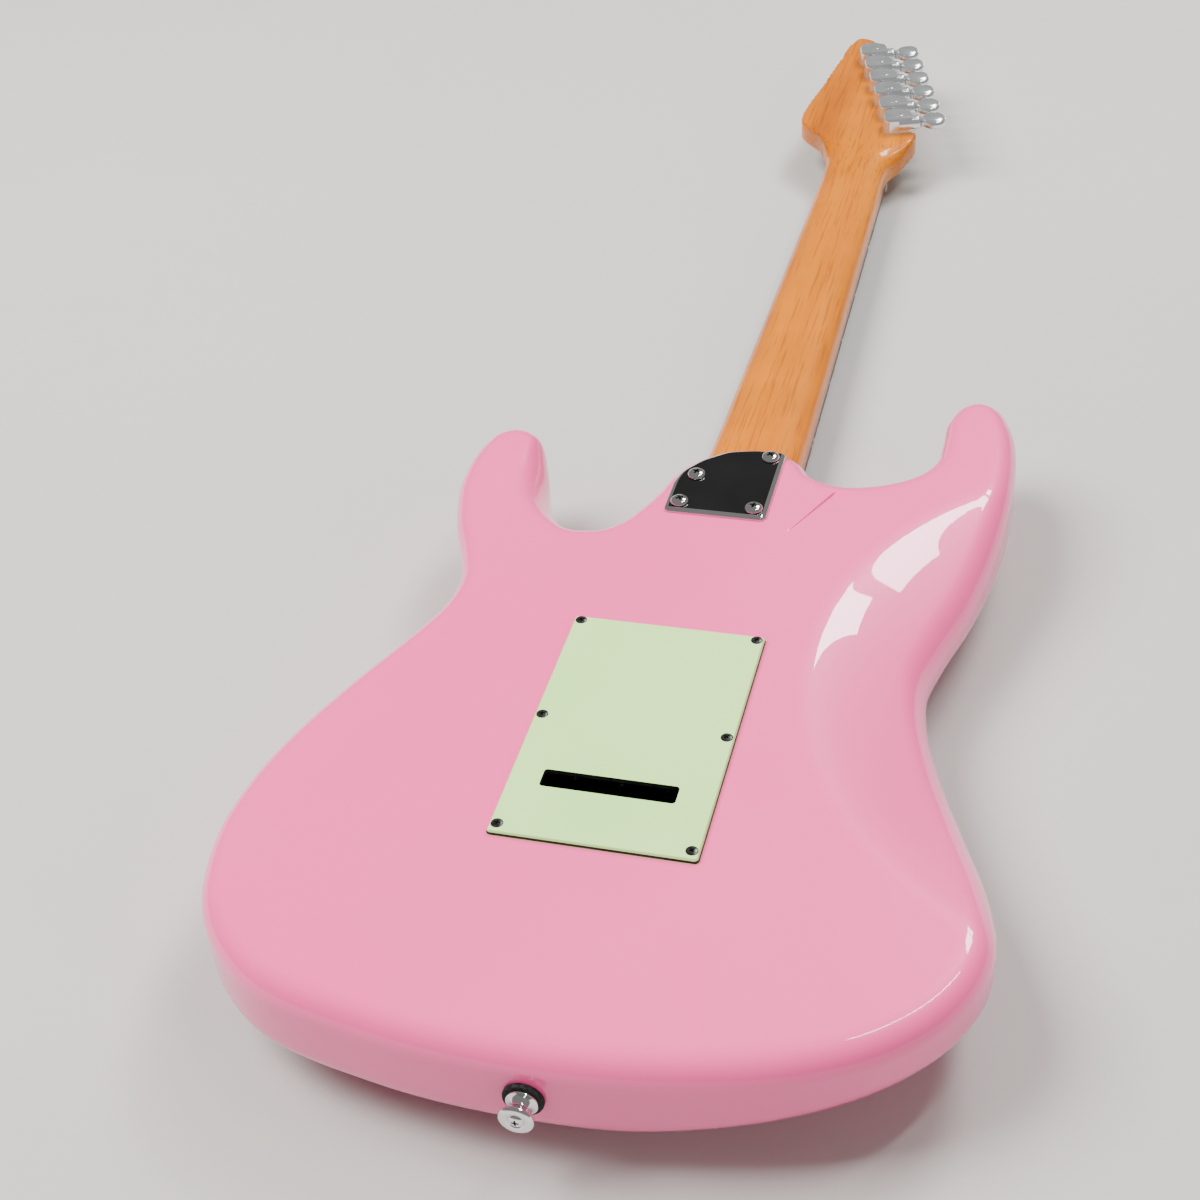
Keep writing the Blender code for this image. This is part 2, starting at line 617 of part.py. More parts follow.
def main():
    for obj in list(bpy.data.objects):
        bpy.data.objects.remove(obj, do_unlink=True)
    make_body()
    make_neck()
    make_fretboard()
    make_nut()
    make_neck_joint()
    make_strap_buttons()
    make_tremolo_cover()
    make_springs()
    make_bridge()
    make_pickguard()
    make_pickups()
    make_controls()
    make_jack()
    for index in range(6):
        make_tuner(index)
        make_string(index)


main()
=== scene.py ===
"""Looks of the double-cutaway electric guitar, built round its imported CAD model.

Every shape is made in millimetres in the luthier's frame, the one that the CAD uses, and placed in metres.
X runs from the centre line to the bass side, Y from the string line over the bridge to the headstock,
and Z from the front of the body (0) through its back (45), so the strings are at negative Z.
"""

import math
from math import cos, pi, radians, sin, sqrt

import bmesh
import bpy
import numpy as np
from mathutils import Matrix, Vector
from mathutils.geometry import delaunay_2d_cdt


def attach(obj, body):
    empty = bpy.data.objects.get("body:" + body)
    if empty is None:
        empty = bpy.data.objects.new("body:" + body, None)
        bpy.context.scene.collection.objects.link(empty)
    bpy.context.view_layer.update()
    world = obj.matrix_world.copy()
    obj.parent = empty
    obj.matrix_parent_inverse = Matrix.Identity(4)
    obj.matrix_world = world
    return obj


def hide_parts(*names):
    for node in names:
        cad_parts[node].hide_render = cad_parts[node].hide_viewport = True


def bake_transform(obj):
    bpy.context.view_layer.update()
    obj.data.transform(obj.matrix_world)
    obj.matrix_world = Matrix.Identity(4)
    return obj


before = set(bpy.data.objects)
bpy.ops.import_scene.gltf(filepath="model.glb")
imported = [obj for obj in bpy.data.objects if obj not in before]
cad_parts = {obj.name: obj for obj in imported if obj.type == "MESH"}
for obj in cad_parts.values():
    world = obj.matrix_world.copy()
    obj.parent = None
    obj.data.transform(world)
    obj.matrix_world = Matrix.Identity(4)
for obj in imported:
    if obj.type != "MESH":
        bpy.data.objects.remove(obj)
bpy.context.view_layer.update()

MM = 0.001
ORIGIN = Vector((1.812, 334.37, -20.0))
TO_METRES = Matrix.Scale(MM, 4) @ Matrix.Translation(-ORIGIN)
SKIN = 0.02  # the air between two surfaces that touch
SLOTS = 4  # material slots that a shape may use

BODY_DEPTH = 45.0
EDGE_RADIUS = 12.0
EDGE_SHARE = 0.86  # the most of the room between two sides of a horn that one rounded edge takes
RIM_TRIM = 0.25  # keeps the smooth rim inside the CAD body's facets
BODY_OUTLINE = [
    (-12, -157), (-65, -152.5), (-120, -137.5), (-152, -106.5), (-164, -65), (-162.5, -30),
    (-155, 2), (-141, 40), (-125, 77), (-115.5, 104), (-114.5, 126), (-121, 148),
    (-131, 172), (-139, 204), (-138.4, 233), (-132.4, 248.3), (-119.5, 254.8), (-106.7, 249),
    (-99.3, 234), (-92, 211), (-83, 192), (-71, 179), (-58, 174.5), (-48, 182),
    (-40.5, 196), (-35, 210), (-31.5, 223), (-24, 238), (-10, 249), (8, 252.5),
    (26, 253), (36, 247), (44, 237), (58, 232), (76, 236), (93, 247),
    (101.5, 262), (103.3, 282), (103.6, 299), (108.6, 311.8), (120, 317.5), (131.5, 312),
    (139, 297), (143.3, 272), (144, 240), (141, 205), (134, 168), (125, 135),
    (120, 108), (123, 82), (134, 48), (149, 10), (162, -27), (168, -66),
    (158, -96), (135, -121.5), (98, -141), (42, -154),
]
# Each contour is a dish cut round a vertical axis outside the rim: centre, radius, slope, softness.
BELLY_CONTOUR = ((239, 95), 177, 0.43, 20)
HORN_CONTOUR = ((-42, 226), 70, 0.75, 6)
FOREARM_CONTOUR = ((215, -150), 180, 0.138, 20)
HORN_CONTOUR_FADE = (-60, -74)
HEEL_CREASE = ((64, 233), (37, 177))  # from the bass cutaway towards the corner of the neck plate
CREASE_DROP = 1.2
CREASE_WALL = 0.7  # width of the steep wall on the heel's side
CREASE_RISE = 24.0  # width of the easy rise on the bass side
CREASE_START = 0.2  # share of its length that lies in the body's rounded edge
CREASE_CLEAR = 4.0  # the crease's own points take over from the grid this near to it
CREASE_STEPS = 50

SCALE_LENGTH = 648.0
NUT_WIDTH = 42.0
HEEL_WIDTH = 56.0
HEEL_Y = 182.0
FRETBOARD_END_Y = 176.0
FRETBOARD_FACE_Z = -9.5
FRETBOARD_RADIUS = 241.0
NECK_TOP_Z = -3.2
HEEL_BACK_Z = 15.9
HEAD_FRONT_Z = 1.5
HEAD_BACK_Z = 16.0
HEAD_OUTLINE = [
    (21.2, 640), (23, 650), (30, 662), (35, 673), (36, 682), (33, 690), (28.8, 700),
    (12.5, 753), (-3.7, 806), (-10, 826), (-18, 835.6), (-27, 837.5), (-31.5, 828),
    (-35, 800), (-40, 760), (-43, 740), (-46, 718), (-47, 702), (-45, 692),
    (-39, 684), (-29, 673), (-22.5, 660), (-21.2, 650), (-21, 640),
]
NECK_PLATE = [(-25, 188), (27, 188), (27, 247), (11, 247), (-3, 243.5), (-15, 234), (-23, 223), (-25, 214)]
NECK_SCREWS = [(20, 240), (20, 195), (-18, 195), (-14.5, 219)]

PIVOT_POSTS = [(28.0, 10.0), (-28.0, 10.0)]  # bass and treble
STRINGS_AT_BRIDGE = [10.5 * (2.5 - i) for i in range(6)]  # X of each string, from the bass side
STRINGS_AT_NUT = [7.1 * (2.5 - i) for i in range(6)]
BALL_Y = -11.2  # the channels of the block, which hold the strings' ball ends
SADDLE_SCREW_Z = -9.2
STRING_DIAMETERS = [1.2, 0.95, 0.7, 0.55, 0.5, 0.45]
NUT_SLOT_Z = -11.1
COVER_CENTRE = (-0.5, 25.7)
COVER_SIZE = (92.0, 145.5)
COVER_SLOT = ((-1.5, -11.2), (60.0, 10.5))
PICKGUARD_OUTLINE = [
    (33, 238), (46, 221), (62, 219), (80, 224), (97, 237), (110, 258), (120, 268), (124, 252),
    (119, 222), (107, 188), (91, 158), (79, 130), (72, 98), (64, 62), (52, 22), (30, 4),
    (-20, -10), (-46, -46), (-56, -74), (-70, -86), (-86, -84), (-98, -70), (-101, -40),
    (-105, 0), (-105, 40), (-99, 76), (-95, 106), (-97, 140), (-107, 176), (-118, 208),
    (-120, 232), (-112, 232), (-104, 212), (-94, 188), (-78, 167), (-58, 160), (-41, 170),
    (-31, 192), (-25, 212), (0, 215),
]
PICKUPS = [("neck_pickup", 152.0, 0.0), ("middle_pickup", 97.0, 0.0), ("bridge_pickup", 42.0, 8.0)]
PICKUP_SIZE = (70.0, 18.0)
KNOBS = [
    ("volume_knob", "volume", -60, 10), ("tone_knob_1", "tone_1", -78, -24),
    ("tone_knob_2", "tone_2", -80, -60),
]
SELECTOR = (-84, 50)
SELECTOR_ANGLE = 24.0
FIT = 0.15  # the room at each side of the neck in its pocket
POCKET_END_Y = 275  # past the cutaways
BRIDGE_ROUT = ((0, -12.5), (76, 31), 5)  # centre, size, corner radius
SPRING_ROUT = ((0, 45), (60, 96), 6)
SPRING_ROUT_FLOOR = 29
PICKUP_ROUT = ((92, 27), 5, 19)  # size, corner radius, depth
WIRE_WAY = ((-6, 50), (6, 150), 16)  # corners, depth
CONTROL_DEPTH = 38
CONTROL_CAVITY = [
    (-40, 40), (-47, -4), (-58, -46), (-64, -72), (-80, -76), (-92, -62), (-95, -24),
    (-98, 30), (-98, 66), (-88, 78), (-66, 72), (-46, 56),
]
JACK_CENTRE = (-121, -82)
JACK_ANGLE = 78.0
TAIL_BUTTON = (1, -157.1)
HORN_BUTTON = (117.5, 318.1)
TUNER_FIRST = (20.3, 690.4)
TUNER_STEP = (-6.57, 21.41)
TUNER_SHAFT_OFFSET = -6.5
TUNER_SHAFT_Z = 22.0
POST_WAIST = 2.7  # radius of a string post where the string winds on
WINDING_Z = -5.4


# ---------------------------------------------------------------- materials

class Nodes:
    """A material's node tree, with short ways to add what the finishes below need."""

    def __init__(self, name):
        self.material = bpy.data.materials.new(name)
        self.material.use_nodes = True
        self.tree = self.material.node_tree
        self.shader = self.tree.nodes["Principled BSDF"]
        self.place = self.tree.nodes.new("ShaderNodeTexCoord").outputs["Object"]

    def set(self, **values):
        for name, value in values.items():
            socket = self.shader.inputs[name.replace("_", " ")]
            socket.default_value = (*value, 1.0) if isinstance(value, tuple) else value

    def link(self, output, name):
        self.tree.links.new(output, self.shader.inputs[name])

    def noise(self, scale, detail=3.0, rough=0.5, stretch=(1, 1, 1), shift=0.0):
        """Noise with this many features to a metre, stretched by a factor along each axis."""
        mapping = self.tree.nodes.new("ShaderNodeMapping")
        mapping.inputs["Scale"].default_value = stretch
        mapping.inputs["Location"].default_value = (shift, shift * 0.7, -shift)
        self.tree.links.new(self.place, mapping.inputs["Vector"])
        texture = self.tree.nodes.new("ShaderNodeTexNoise")
        texture.inputs["Scale"].default_value = scale
        texture.inputs["Detail"].default_value = detail
        texture.inputs["Roughness"].default_value = rough
        self.tree.links.new(mapping.outputs["Vector"], texture.inputs["Vector"])
        return texture.outputs["Fac"]

    def ramp(self, factor, stops):
        node = self.tree.nodes.new("ShaderNodeValToRGB")
        elements = node.color_ramp.elements
        while len(elements) < len(stops):
            elements.new(0.5)
        for element, (position, colour) in zip(elements, stops):
            element.position = position
            element.color = (*colour, 1.0)
        self.tree.links.new(factor, node.inputs["Fac"])
        return node.outputs["Color"]

    def mix(self, first, second, factor, kind="MIX"):
        node = self.tree.nodes.new("ShaderNodeMix")
        node.data_type = "RGBA"
        node.blend_type = kind
        if isinstance(factor, float):
            node.inputs["Factor"].default_value = factor
        else:
            self.tree.links.new(factor, node.inputs["Factor"])
        self.tree.links.new(first, node.inputs["A"])
        self.tree.links.new(second, node.inputs["B"])
        return node.outputs["Result"]

    def spread(self, factor, low, high, start=0.3, end=0.7):
        node = self.tree.nodes.new("ShaderNodeMapRange")
        for name, value in (("From Min", start), ("From Max", end), ("To Min", low), ("To Max", high)):
            node.inputs[name].default_value = value
        self.tree.links.new(factor, node.inputs["Value"])
        return node.outputs["Result"]

    def bump(self, height, strength, distance):
        node = self.tree.nodes.new("ShaderNodeBump")
        node.inputs["Strength"].default_value = strength
        node.inputs["Distance"].default_value = distance
        self.tree.links.new(height, node.inputs["Height"])
        self.link(node.outputs["Normal"], "Normal")


def plain(name, dark, light, roughness, scale, metallic=0.0, coat=0.0, grain=(900.0, 0.04, 0.0002)):
    """A finish whose colour, roughness and surface all vary a little."""
    nodes = Nodes(name)
    nodes.set(Metallic=metallic, Coat_Weight=coat, Coat_Roughness=0.04)
    tone = nodes.noise(scale)
    nodes.link(nodes.ramp(tone, [(0.35, dark), (0.65, light)]), "Base Color")
    nodes.link(nodes.spread(nodes.noise(scale * 4, shift=3.0), *roughness), "Roughness")
    texture_scale, strength, distance = grain
    nodes.bump(nodes.noise(texture_scale, 2.0), strength, distance)
    return nodes.material


def lacquer():
    """Pink gloss lacquer: even colour, a clear coat, and the faint waviness of a sprayed finish."""
    nodes = Nodes("pink_lacquer")
    nodes.set(Coat_Weight=1.0, Coat_Roughness=0.015, Coat_IOR=1.5, Specular_IOR_Level=0.35)
    cloud = nodes.noise(7.0, 2.0)
    nodes.link(nodes.ramp(cloud, [(0.3, (0.97, 0.085, 0.32)), (0.7, (0.99, 0.098, 0.34))]), "Base Color")
    nodes.link(nodes.spread(nodes.noise(240.0, 2.0), 0.32, 0.38), "Roughness")
    nodes.bump(nodes.noise(90.0, 1.0), 0.012, 0.0006)
    return nodes.material


def roasted_maple():
    """Gloss roasted maple: grain along the neck, faint cross figure, and short dark flecks."""
    nodes = Nodes("roasted_maple")
    nodes.set(Coat_Weight=0.55, Coat_Roughness=0.06, Specular_IOR_Level=0.12)
    broad = nodes.noise(26.0, 4.0, 0.55, (1, 0.07, 1))
    browns = [(0.3, (0.42, 0.1, 0.0)), (0.5, (0.57, 0.157, 0.0)), (0.72, (0.7, 0.218, 0.001))]
    wave = nodes.noise(34.0, 2.0, 0.5, (0.35, 1, 0.35), 2.0)
    figure = nodes.ramp(wave, [(0.4, (0.86, 0.86, 0.86)), (0.62, (1, 1, 1))])
    wood = nodes.mix(nodes.ramp(broad, browns), figure, 0.55, "MULTIPLY")
    spot = nodes.noise(620.0, 3.0, 0.6, (1, 0.035, 1), 5.0)
    fleck = nodes.ramp(spot, [(0.36, (0.55, 0.5, 0.45)), (0.47, (1, 1, 1))])
    nodes.link(nodes.mix(wood, fleck, 0.6, "MULTIPLY"), "Base Color")
    nodes.link(nodes.spread(nodes.noise(120.0), 0.28, 0.42), "Roughness")
    nodes.bump(nodes.noise(160.0, 2.0, 0.5, (1, 0.1, 1)), 0.03, 0.0003)
    return nodes.material


def dark_fretboard():
    """Oiled dark hardwood with streaks and open pores along the board."""
    nodes = Nodes("dark_fretboard")
    streak = nodes.noise(70.0, 4.0, 0.6, (1, 0.06, 1))
    browns = [(0.3, (0.018, 0.008, 0.004)), (0.55, (0.055, 0.024, 0.012)), (0.75, (0.1, 0.045, 0.02))]
    wood = nodes.ramp(streak, browns)
    pore_field = nodes.noise(1300.0, 2.0, 0.5, (1, 0.04, 1), 4.0)
    pores = nodes.ramp(pore_field, [(0.4, (0.3, 0.3, 0.3)), (0.48, (1, 1, 1))])
    nodes.link(nodes.mix(wood, pores, 0.8, "MULTIPLY"), "Base Color")
    nodes.link(nodes.spread(streak, 0.42, 0.6), "Roughness")
    nodes.bump(pore_field, 0.25, 0.0002)
    return nodes.material


def wound_string():
    """Round-wound string: fine rings along the string and a soft metal sheen."""
    nodes = Nodes("wound_string")
    nodes.set(Metallic=1.0)
    tone = nodes.ramp(nodes.noise(300.0), [(0.3, (0.42, 0.4, 0.36)), (0.7, (0.6, 0.58, 0.53))])
    nodes.link(tone, "Base Color")
    nodes.link(nodes.spread(nodes.noise(900.0), 0.25, 0.42), "Roughness")
    wave = nodes.tree.nodes.new("ShaderNodeTexWave")
    wave.bands_direction = "Y"
    wave.inputs["Scale"].default_value = 700.0
    nodes.tree.links.new(nodes.place, wave.inputs["Vector"])
    nodes.bump(wave.outputs["Fac"], 0.5, 0.0001)
    return nodes.material


PINK = lacquer()
MAPLE = roasted_maple()
ROSEWOOD = dark_fretboard()
WOUND = wound_string()
# Near-black painted shade for the insides of routs, holes, bores and channels.
HOLLOW_SHADE = plain("painted_hollow_shade", (0.006, 0.006, 0.006), (0.02, 0.019, 0.018), (0.6, 0.8), 90.0)
MINT = plain("mint_plastic", (0.50, 0.86, 0.27), (0.53, 0.88, 0.30), (0.2, 0.26), 12.0, coat=0.35)
# Black of the middle ply and of the knobs' marks; also painted shade on the cover slot's walls, in dark
# screws' recesses and in the thickened ply band.
BLACK_PLY_AND_SHADE = plain("black_ply_and_edge_shade", (0.008, 0.009, 0.008), (0.02, 0.02, 0.02), (0.3, 0.45), 300.0)
CREAM = plain("bone", (0.62, 0.56, 0.42), (0.72, 0.67, 0.54), (0.3, 0.42), 180.0)
PEARL = plain("pearl_dots", (0.62, 0.62, 0.58), (0.85, 0.85, 0.8), (0.15, 0.3), 700.0, coat=0.4)
CHROME = plain(
    "chrome", (0.76, 0.77, 0.79), (0.82, 0.82, 0.83), (0.035, 0.09), 40.0, 1.0, grain=(500.0, 0.01, 0.0001),
)
SATIN = plain(
    "satin_chrome", (0.7, 0.73, 0.75), (0.8, 0.83, 0.85), (0.17, 0.24), 60.0, 0.88,
    grain=(700.0, 0.02, 0.0001),
)
BLACK_CHROME = plain(
    "black_chrome", (0.003, 0.003, 0.004), (0.006, 0.006, 0.007), (0.03, 0.06), 30.0, 0.3, 0.5,
    (400.0, 0.008, 0.0001),
)
# Dark metal of the cover's screws; also painted shade in the cross recesses of chrome and steel screws.
DARK_METAL_AND_RECESS_SHADE = plain("dark_metal_and_recess_shade", (0.05, 0.05, 0.05), (0.13, 0.13, 0.13), (0.22, 0.4), 600.0, 0.9)
STEEL = plain(
    "steel", (0.42, 0.42, 0.43), (0.56, 0.56, 0.57), (0.24, 0.4), 120.0, 1.0, grain=(1500.0, 0.08, 0.0001),
)
NICKEL = plain("fret_wire", (0.62, 0.61, 0.57), (0.74, 0.73, 0.69), (0.14, 0.26), 200.0, 1.0)
BRASS = plain("brass", (0.62, 0.42, 0.14), (0.75, 0.52, 0.2), (0.25, 0.4), 300.0, 1.0)
FELT = plain(
    "felt", (0.008, 0.008, 0.009), (0.03, 0.03, 0.032), (0.85, 0.98), 900.0, grain=(2500.0, 0.7, 0.0004),
)
CHROME_SCREW = [CHROME, DARK_METAL_AND_RECESS_SHADE]  # a screw's head, and painted shade in its cross recess


# ---------------------------------------------------------------- shapes

def span(p0, p1, p2, p3, steps):
    """Points of one centripetal Catmull-Rom span, from p1 to just before p2."""
    t1 = sqrt((p1 - p0).length)
    t2 = t1 + sqrt((p2 - p1).length)
    t3 = t2 + sqrt((p3 - p2).length)
    points = []
    for step in range(steps):
        s = t1 + (t2 - t1) * step / steps
        a = p0 * ((t1 - s) / t1) + p1 * (s / t1)
        b = p1 * ((t2 - s) / (t2 - t1)) + p2 * ((s - t1) / (t2 - t1))
        c = p2 * ((t3 - s) / (t3 - t2)) + p3 * ((s - t2) / (t3 - t2))
        d = a * ((t2 - s) / t2) + b * (s / t2)
        e = b * ((t3 - s) / (t3 - t1)) + c * ((s - t1) / (t3 - t1))
        points.append(d * ((t2 - s) / (t2 - t1)) + e * ((s - t1) / (t2 - t1)))
    return points


def smooth_loop(points, steps):
    """Closed curve through the points, with this many points to each span."""
    knots = [Vector(p) for p in points]
    curve = []
    for i in range(len(knots)):
        curve += span(*(knots[(i + k) % len(knots)] for k in (-1, 0, 1, 2)), steps)
    return curve


def curve_through(points, steps):
    """Open curve through the points, with this many points to each span."""
    knots = [Vector(p) for p in points]
    knots = [knots[0] * 2 - knots[1]] + knots + [knots[-1] * 2 - knots[-2]]
    curve = []
    for i in range(len(knots) - 3):
        curve += span(*knots[i:i + 4], steps)
    return curve + [knots[-2]]


def rounded_rectangle(centre, size, radius, steps=6):
    """Outline of a rectangle with round corners, counter-clockwise."""
    outline = []
    for quarter, (sx, sy) in enumerate(((1, 1), (-1, 1), (-1, -1), (1, -1))):
        for step in range(steps + 1):
            angle = radians(90 * (quarter + step / steps))
            x = centre[0] + sx * (size[0] / 2 - radius) + radius * cos(angle)
            y = centre[1] + sy * (size[1] / 2 - radius) + radius * sin(angle)
            outline.append(Vector((x, y)))
    return outline


def round_corners(points, radius, steps=5):
    """The polygon with each corner turned into a short curve."""
    outline = []
    count = len(points)
    for i in range(count):
        before, corner, after = (Vector(points[(i + k) % count]) for k in (-1, 0, 1))
        reach = min(radius, (before - corner).length / 2.2, (after - corner).length / 2.2)
        start = corner + (before - corner).normalized() * reach
        end = corner + (after - corner).normalized() * reach
        for step in range(steps + 1):
            t = step / steps
            outline.append(start * (1 - t) ** 2 + corner * 2 * t * (1 - t) + end * t ** 2)
    return outline


def move(x, y, z=0):
    return Matrix.Translation((x, y, z))


def spin(degrees, axis="Z"):
    return Matrix.Rotation(radians(degrees), 4, axis)


FLIP = spin(180, "X")  # points a fitting out of the front instead of the back


def turned(outline, centre, degrees):
    """The outline turned about a point."""
    turn = Matrix.Rotation(radians(degrees), 2)
    middle = Vector(centre)
    return [middle + turn @ (Vector(p) - middle) for p in outline]


def inset(outline, distance):
    """The outline moved inwards along its own normals."""
    count = len(outline)
    area = sum(outline[i - 1].x * outline[i].y - outline[i].x * outline[i - 1].y for i in range(count))
    side = 1 if area > 0 else -1
    moved = []
    for i, p in enumerate(outline):
        before = p - outline[i - 1]
        after = outline[(i + 1) % count] - p
        along = before.normalized() + after.normalized()
        along = along.normalized() if along.length > 1e-6 else after.normalized()
        moved.append(p + Vector((-along.y, along.x)) * (side * distance))
    return moved


def skin(rings, marks=()):
    """Closed solid over a stack of rings; marks gives each band's material index."""
    solid = bmesh.new()
    loops = [[solid.verts.new(p) for p in ring] for ring in rings]
    count = len(loops[0])
    for band, (low, high) in enumerate(zip(loops, loops[1:])):
        for i in range(count):
            j = (i + 1) % count
            face = solid.faces.new((low[i], low[j], high[j], high[i]))
            face.material_index = marks[min(band, len(marks) - 1)] if marks else 0
    solid.faces.new(loops[0]).material_index = marks[0] if marks else 0
    solid.faces.new(loops[-1]).material_index = marks[-1] if marks else 0
    return solid


def prism(outline, low, high, mark=0):
    """The outline extruded along Z."""
    return skin([[(x, y, z) for x, y in outline] for z in (low, high)], [mark])


def bar(profile, left, right, mark=0):
    """A profile in Y and Z extruded along X."""
    return skin([[(x, y, z) for y, z in profile] for x in (left, right)], [mark])


def box(low, high, mark=0):
    """Cuboid between two corners."""
    outline = [(low[0], low[1]), (high[0], low[1]), (high[0], high[1]), (low[0], high[1])]
    return prism(outline, low[2], high[2], mark)


def stepped(outline, levels, marks=()):
    """Rings of the outline, each inset and at a height."""
    return skin([[(x, y, z) for x, y in inset(outline, distance)] for distance, z in levels], marks)


def lathe(profile, sides=32, matrix=None, marks=(), ribs=None):
    """A profile of (radius, height) turned about Z; ribs gives how many ribs, how deep and on which rings."""
    rings = []
    for index, (radius, height) in enumerate(profile):
        ring = []
        for i in range(sides):
            angle = 2 * pi * i / sides
            reach = radius
            if ribs and index in ribs[2]:
                reach -= ribs[1] * (0.5 + 0.5 * cos(ribs[0] * angle))
            ring.append((reach * cos(angle), reach * sin(angle), height))
        rings.append(ring)
    solid = skin(rings, marks)
    if matrix:
        solid.transform(matrix)
    return solid


def tube(path, radius, sides):
    """Round bar swept along a path without twist; radius may be one number or one for each point."""
    points = [Vector(p) for p in path]
    radii = radius if isinstance(radius, list) else [radius] * len(points)
    rings = []
    side = None
    for i, p in enumerate(points):
        along = (points[min(i + 1, len(points) - 1)] - points[max(i - 1, 0)]).normalized()
        if side is None:
            side = along.orthogonal().normalized()
        side = (side - along * side.dot(along)).normalized()
        up = along.cross(side)
        angles = [2 * pi * k / sides for k in range(sides)]
        rings.append([p + (side * cos(a) + up * sin(a)) * radii[i] for a in angles])
    return skin(rings)


def joined(solids):
    """Several solids in one mesh."""
    whole = solids[0]
    for other in solids[1:]:
        mesh = bpy.data.meshes.new("joined")
        other.to_mesh(mesh)
        other.free()
        whole.from_mesh(mesh)
        bpy.data.meshes.remove(mesh)
    return whole


def copies(solid, matrices):
    """The solid repeated at each matrix."""
    mesh = bpy.data.meshes.new("pattern")
    solid.to_mesh(mesh)
    solid.free()
    whole = bmesh.new()
    for matrix in matrices:
        one = bmesh.new()
        one.from_mesh(mesh)
        one.transform(matrix)
        if matrix.determinant() < 0:
            bmesh.ops.reverse_faces(one, faces=one.faces)
        whole = joined([whole, one])
    bpy.data.meshes.remove(mesh)
    return whole


def cut(solid, *tools, operation="DIFFERENCE"):
    """The solid with the tools cut out of it, or added to it."""
    pair = []
    for shape in (solid, joined(tools)):
        bmesh.ops.recalc_face_normals(shape, faces=shape.faces)
        mesh = bpy.data.meshes.new("work")
        shape.to_mesh(mesh)
        shape.free()
        for _ in range(SLOTS):
            mesh.materials.append(None)
        obj = bpy.data.objects.new("work", mesh)
        bpy.context.scene.collection.objects.link(obj)
        pair.append(obj)
    modifier = pair[0].modifiers.new("cut", "BOOLEAN")
    modifier.solver = "EXACT"
    modifier.operation = operation
    modifier.object = pair[1]
    graph = bpy.context.evaluated_depsgraph_get()
    mesh = bpy.data.meshes.new_from_object(pair[0].evaluated_get(graph))
    result = bmesh.new()
    result.from_mesh(mesh)
    bpy.data.meshes.remove(mesh)
    for obj in pair:
        mesh = obj.data
        bpy.data.objects.remove(obj)
        bpy.data.meshes.remove(mesh)
    return result


def soften(solid, width, segments=2, degrees=40):
    """Rounds the edges that turn by more than this angle."""
    bmesh.ops.recalc_face_normals(solid, faces=solid.faces)
    sharp = [e for e in solid.edges if len(e.link_faces) == 2 and e.calc_face_angle(0) > radians(degrees)]
    bmesh.ops.bevel(
        solid, geom=sharp, offset=width, offset_type="OFFSET", segments=segments, profile=0.5,
        affect="EDGES", clamp_overlap=True,
    )
    return solid


def piece(name, solid, finishes, body="guitar", stands_for=(), sharp=38, blend=None, weighted=True):
    """Turns a solid in millimetres into a piece of the guitar."""
    bmesh.ops.remove_doubles(solid, verts=solid.verts, dist=0.0005)
    bmesh.ops.recalc_face_normals(solid, faces=solid.faces)
    solid.transform(TO_METRES)
    mesh = bpy.data.meshes.new(name)
    solid.to_mesh(mesh)
    solid.free()
    for finish in finishes:
        mesh.materials.append(finish)
    mesh.shade_smooth()
    mesh.set_sharp_from_angle(angle=radians(sharp))
    obj = bpy.data.objects.new(name, mesh)
    bpy.context.scene.collection.objects.link(obj)
    if weighted:
        normals = obj.modifiers.new("normals", "WEIGHTED_NORMAL")
        normals.keep_sharp = True
    if blend:
        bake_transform(obj)
    else:
        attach(obj, body)
    if stands_for:
        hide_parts(*stands_for)
    return obj




def cross_recess(reach, depth, top):
    """Tapered cross of a Phillips screw, with its top a little above the head; its faces take the second
    finish, painted shade in the recess.
    """
    rings = []
    for height, arm, half in ((top + 0.6, reach, reach * 0.26), (top - depth, reach * 0.35, reach * 0.14)):
        rings.append([(x, y, height) for x, y in (
            (arm, half), (half, half), (half, arm), (-half, arm), (-half, half), (-arm, half),
            (-arm, -half), (-half, -half), (-half, -arm), (half, -arm), (half, -half), (arm, -half),
        )])
    return skin(rings, [1])


def superellipse(half_x, half_y, power, sides):
    """Squared-off oval: a power of 1 gives an ellipse, and less gives squarer corners."""
    outline = []
    for k in range(sides):
        c, s = cos(2 * pi * k / sides), sin(2 * pi * k / sides)
        x = half_x * math.copysign(abs(c) ** power, c)
        outline.append((x, half_y * math.copysign(abs(s) ** power, s)))
    return outline


def bores(spots, radius, low, high, sides=20, mark=0):
    """A round cutter between two heights at each spot."""
    return [lathe([(radius, low), (radius, high)], sides, move(x, y), [mark]) for x, y in spots]


def oval_screw(radius, height, shank=3.0):
    """Countersunk screw with a low domed head whose rim is at height 0."""
    profile = [(radius * 0.4, -shank), (radius * 0.45, -radius * 0.6), (radius, -0.05), (radius, 0.05)]
    profile += [(radius * cos(a), 0.05 + height * sin(a)) for a in (0.35, 0.7, 1.05, 1.35)]
    profile.append((0.03, 0.05 + height))
    return cut(lathe(profile, 28), cross_recess(radius * 0.62, radius * 0.5, height))


# ---------------------------------------------------------------- body

def dished(point, contour):
    """Depth of a contour at a point: nothing outside its circle, then ever steeper to a plain slope."""
    centre, radius, slope, softness = contour
    inside = radius - math.dist(point, centre)
    if inside <= 0:
        return 0.0
    return slope * inside * inside / (inside + softness)


def crease_offset(x, y):
    """A point's share of the crease's length, from 0 at the cutaway, and its distance to the bass side."""
    start, end = (Vector(p) for p in HEEL_CREASE)
    line = end - start
    offset = Vector((x, y)) - start
    return offset.dot(line) / line.length_squared, line.cross(offset) / line.length


def near_crease(x, y):
    along, aside = crease_offset(x, y)
    return 0 < along < 1 and abs(aside) < CREASE_CLEAR


def crease_share(along):
    """How much of the crease is left: it opens just inside the rounded edge, then runs out to nothing."""
    return max(0.0, min((along - CREASE_START) * 10, (1 - along) / (0.9 - CREASE_START)))


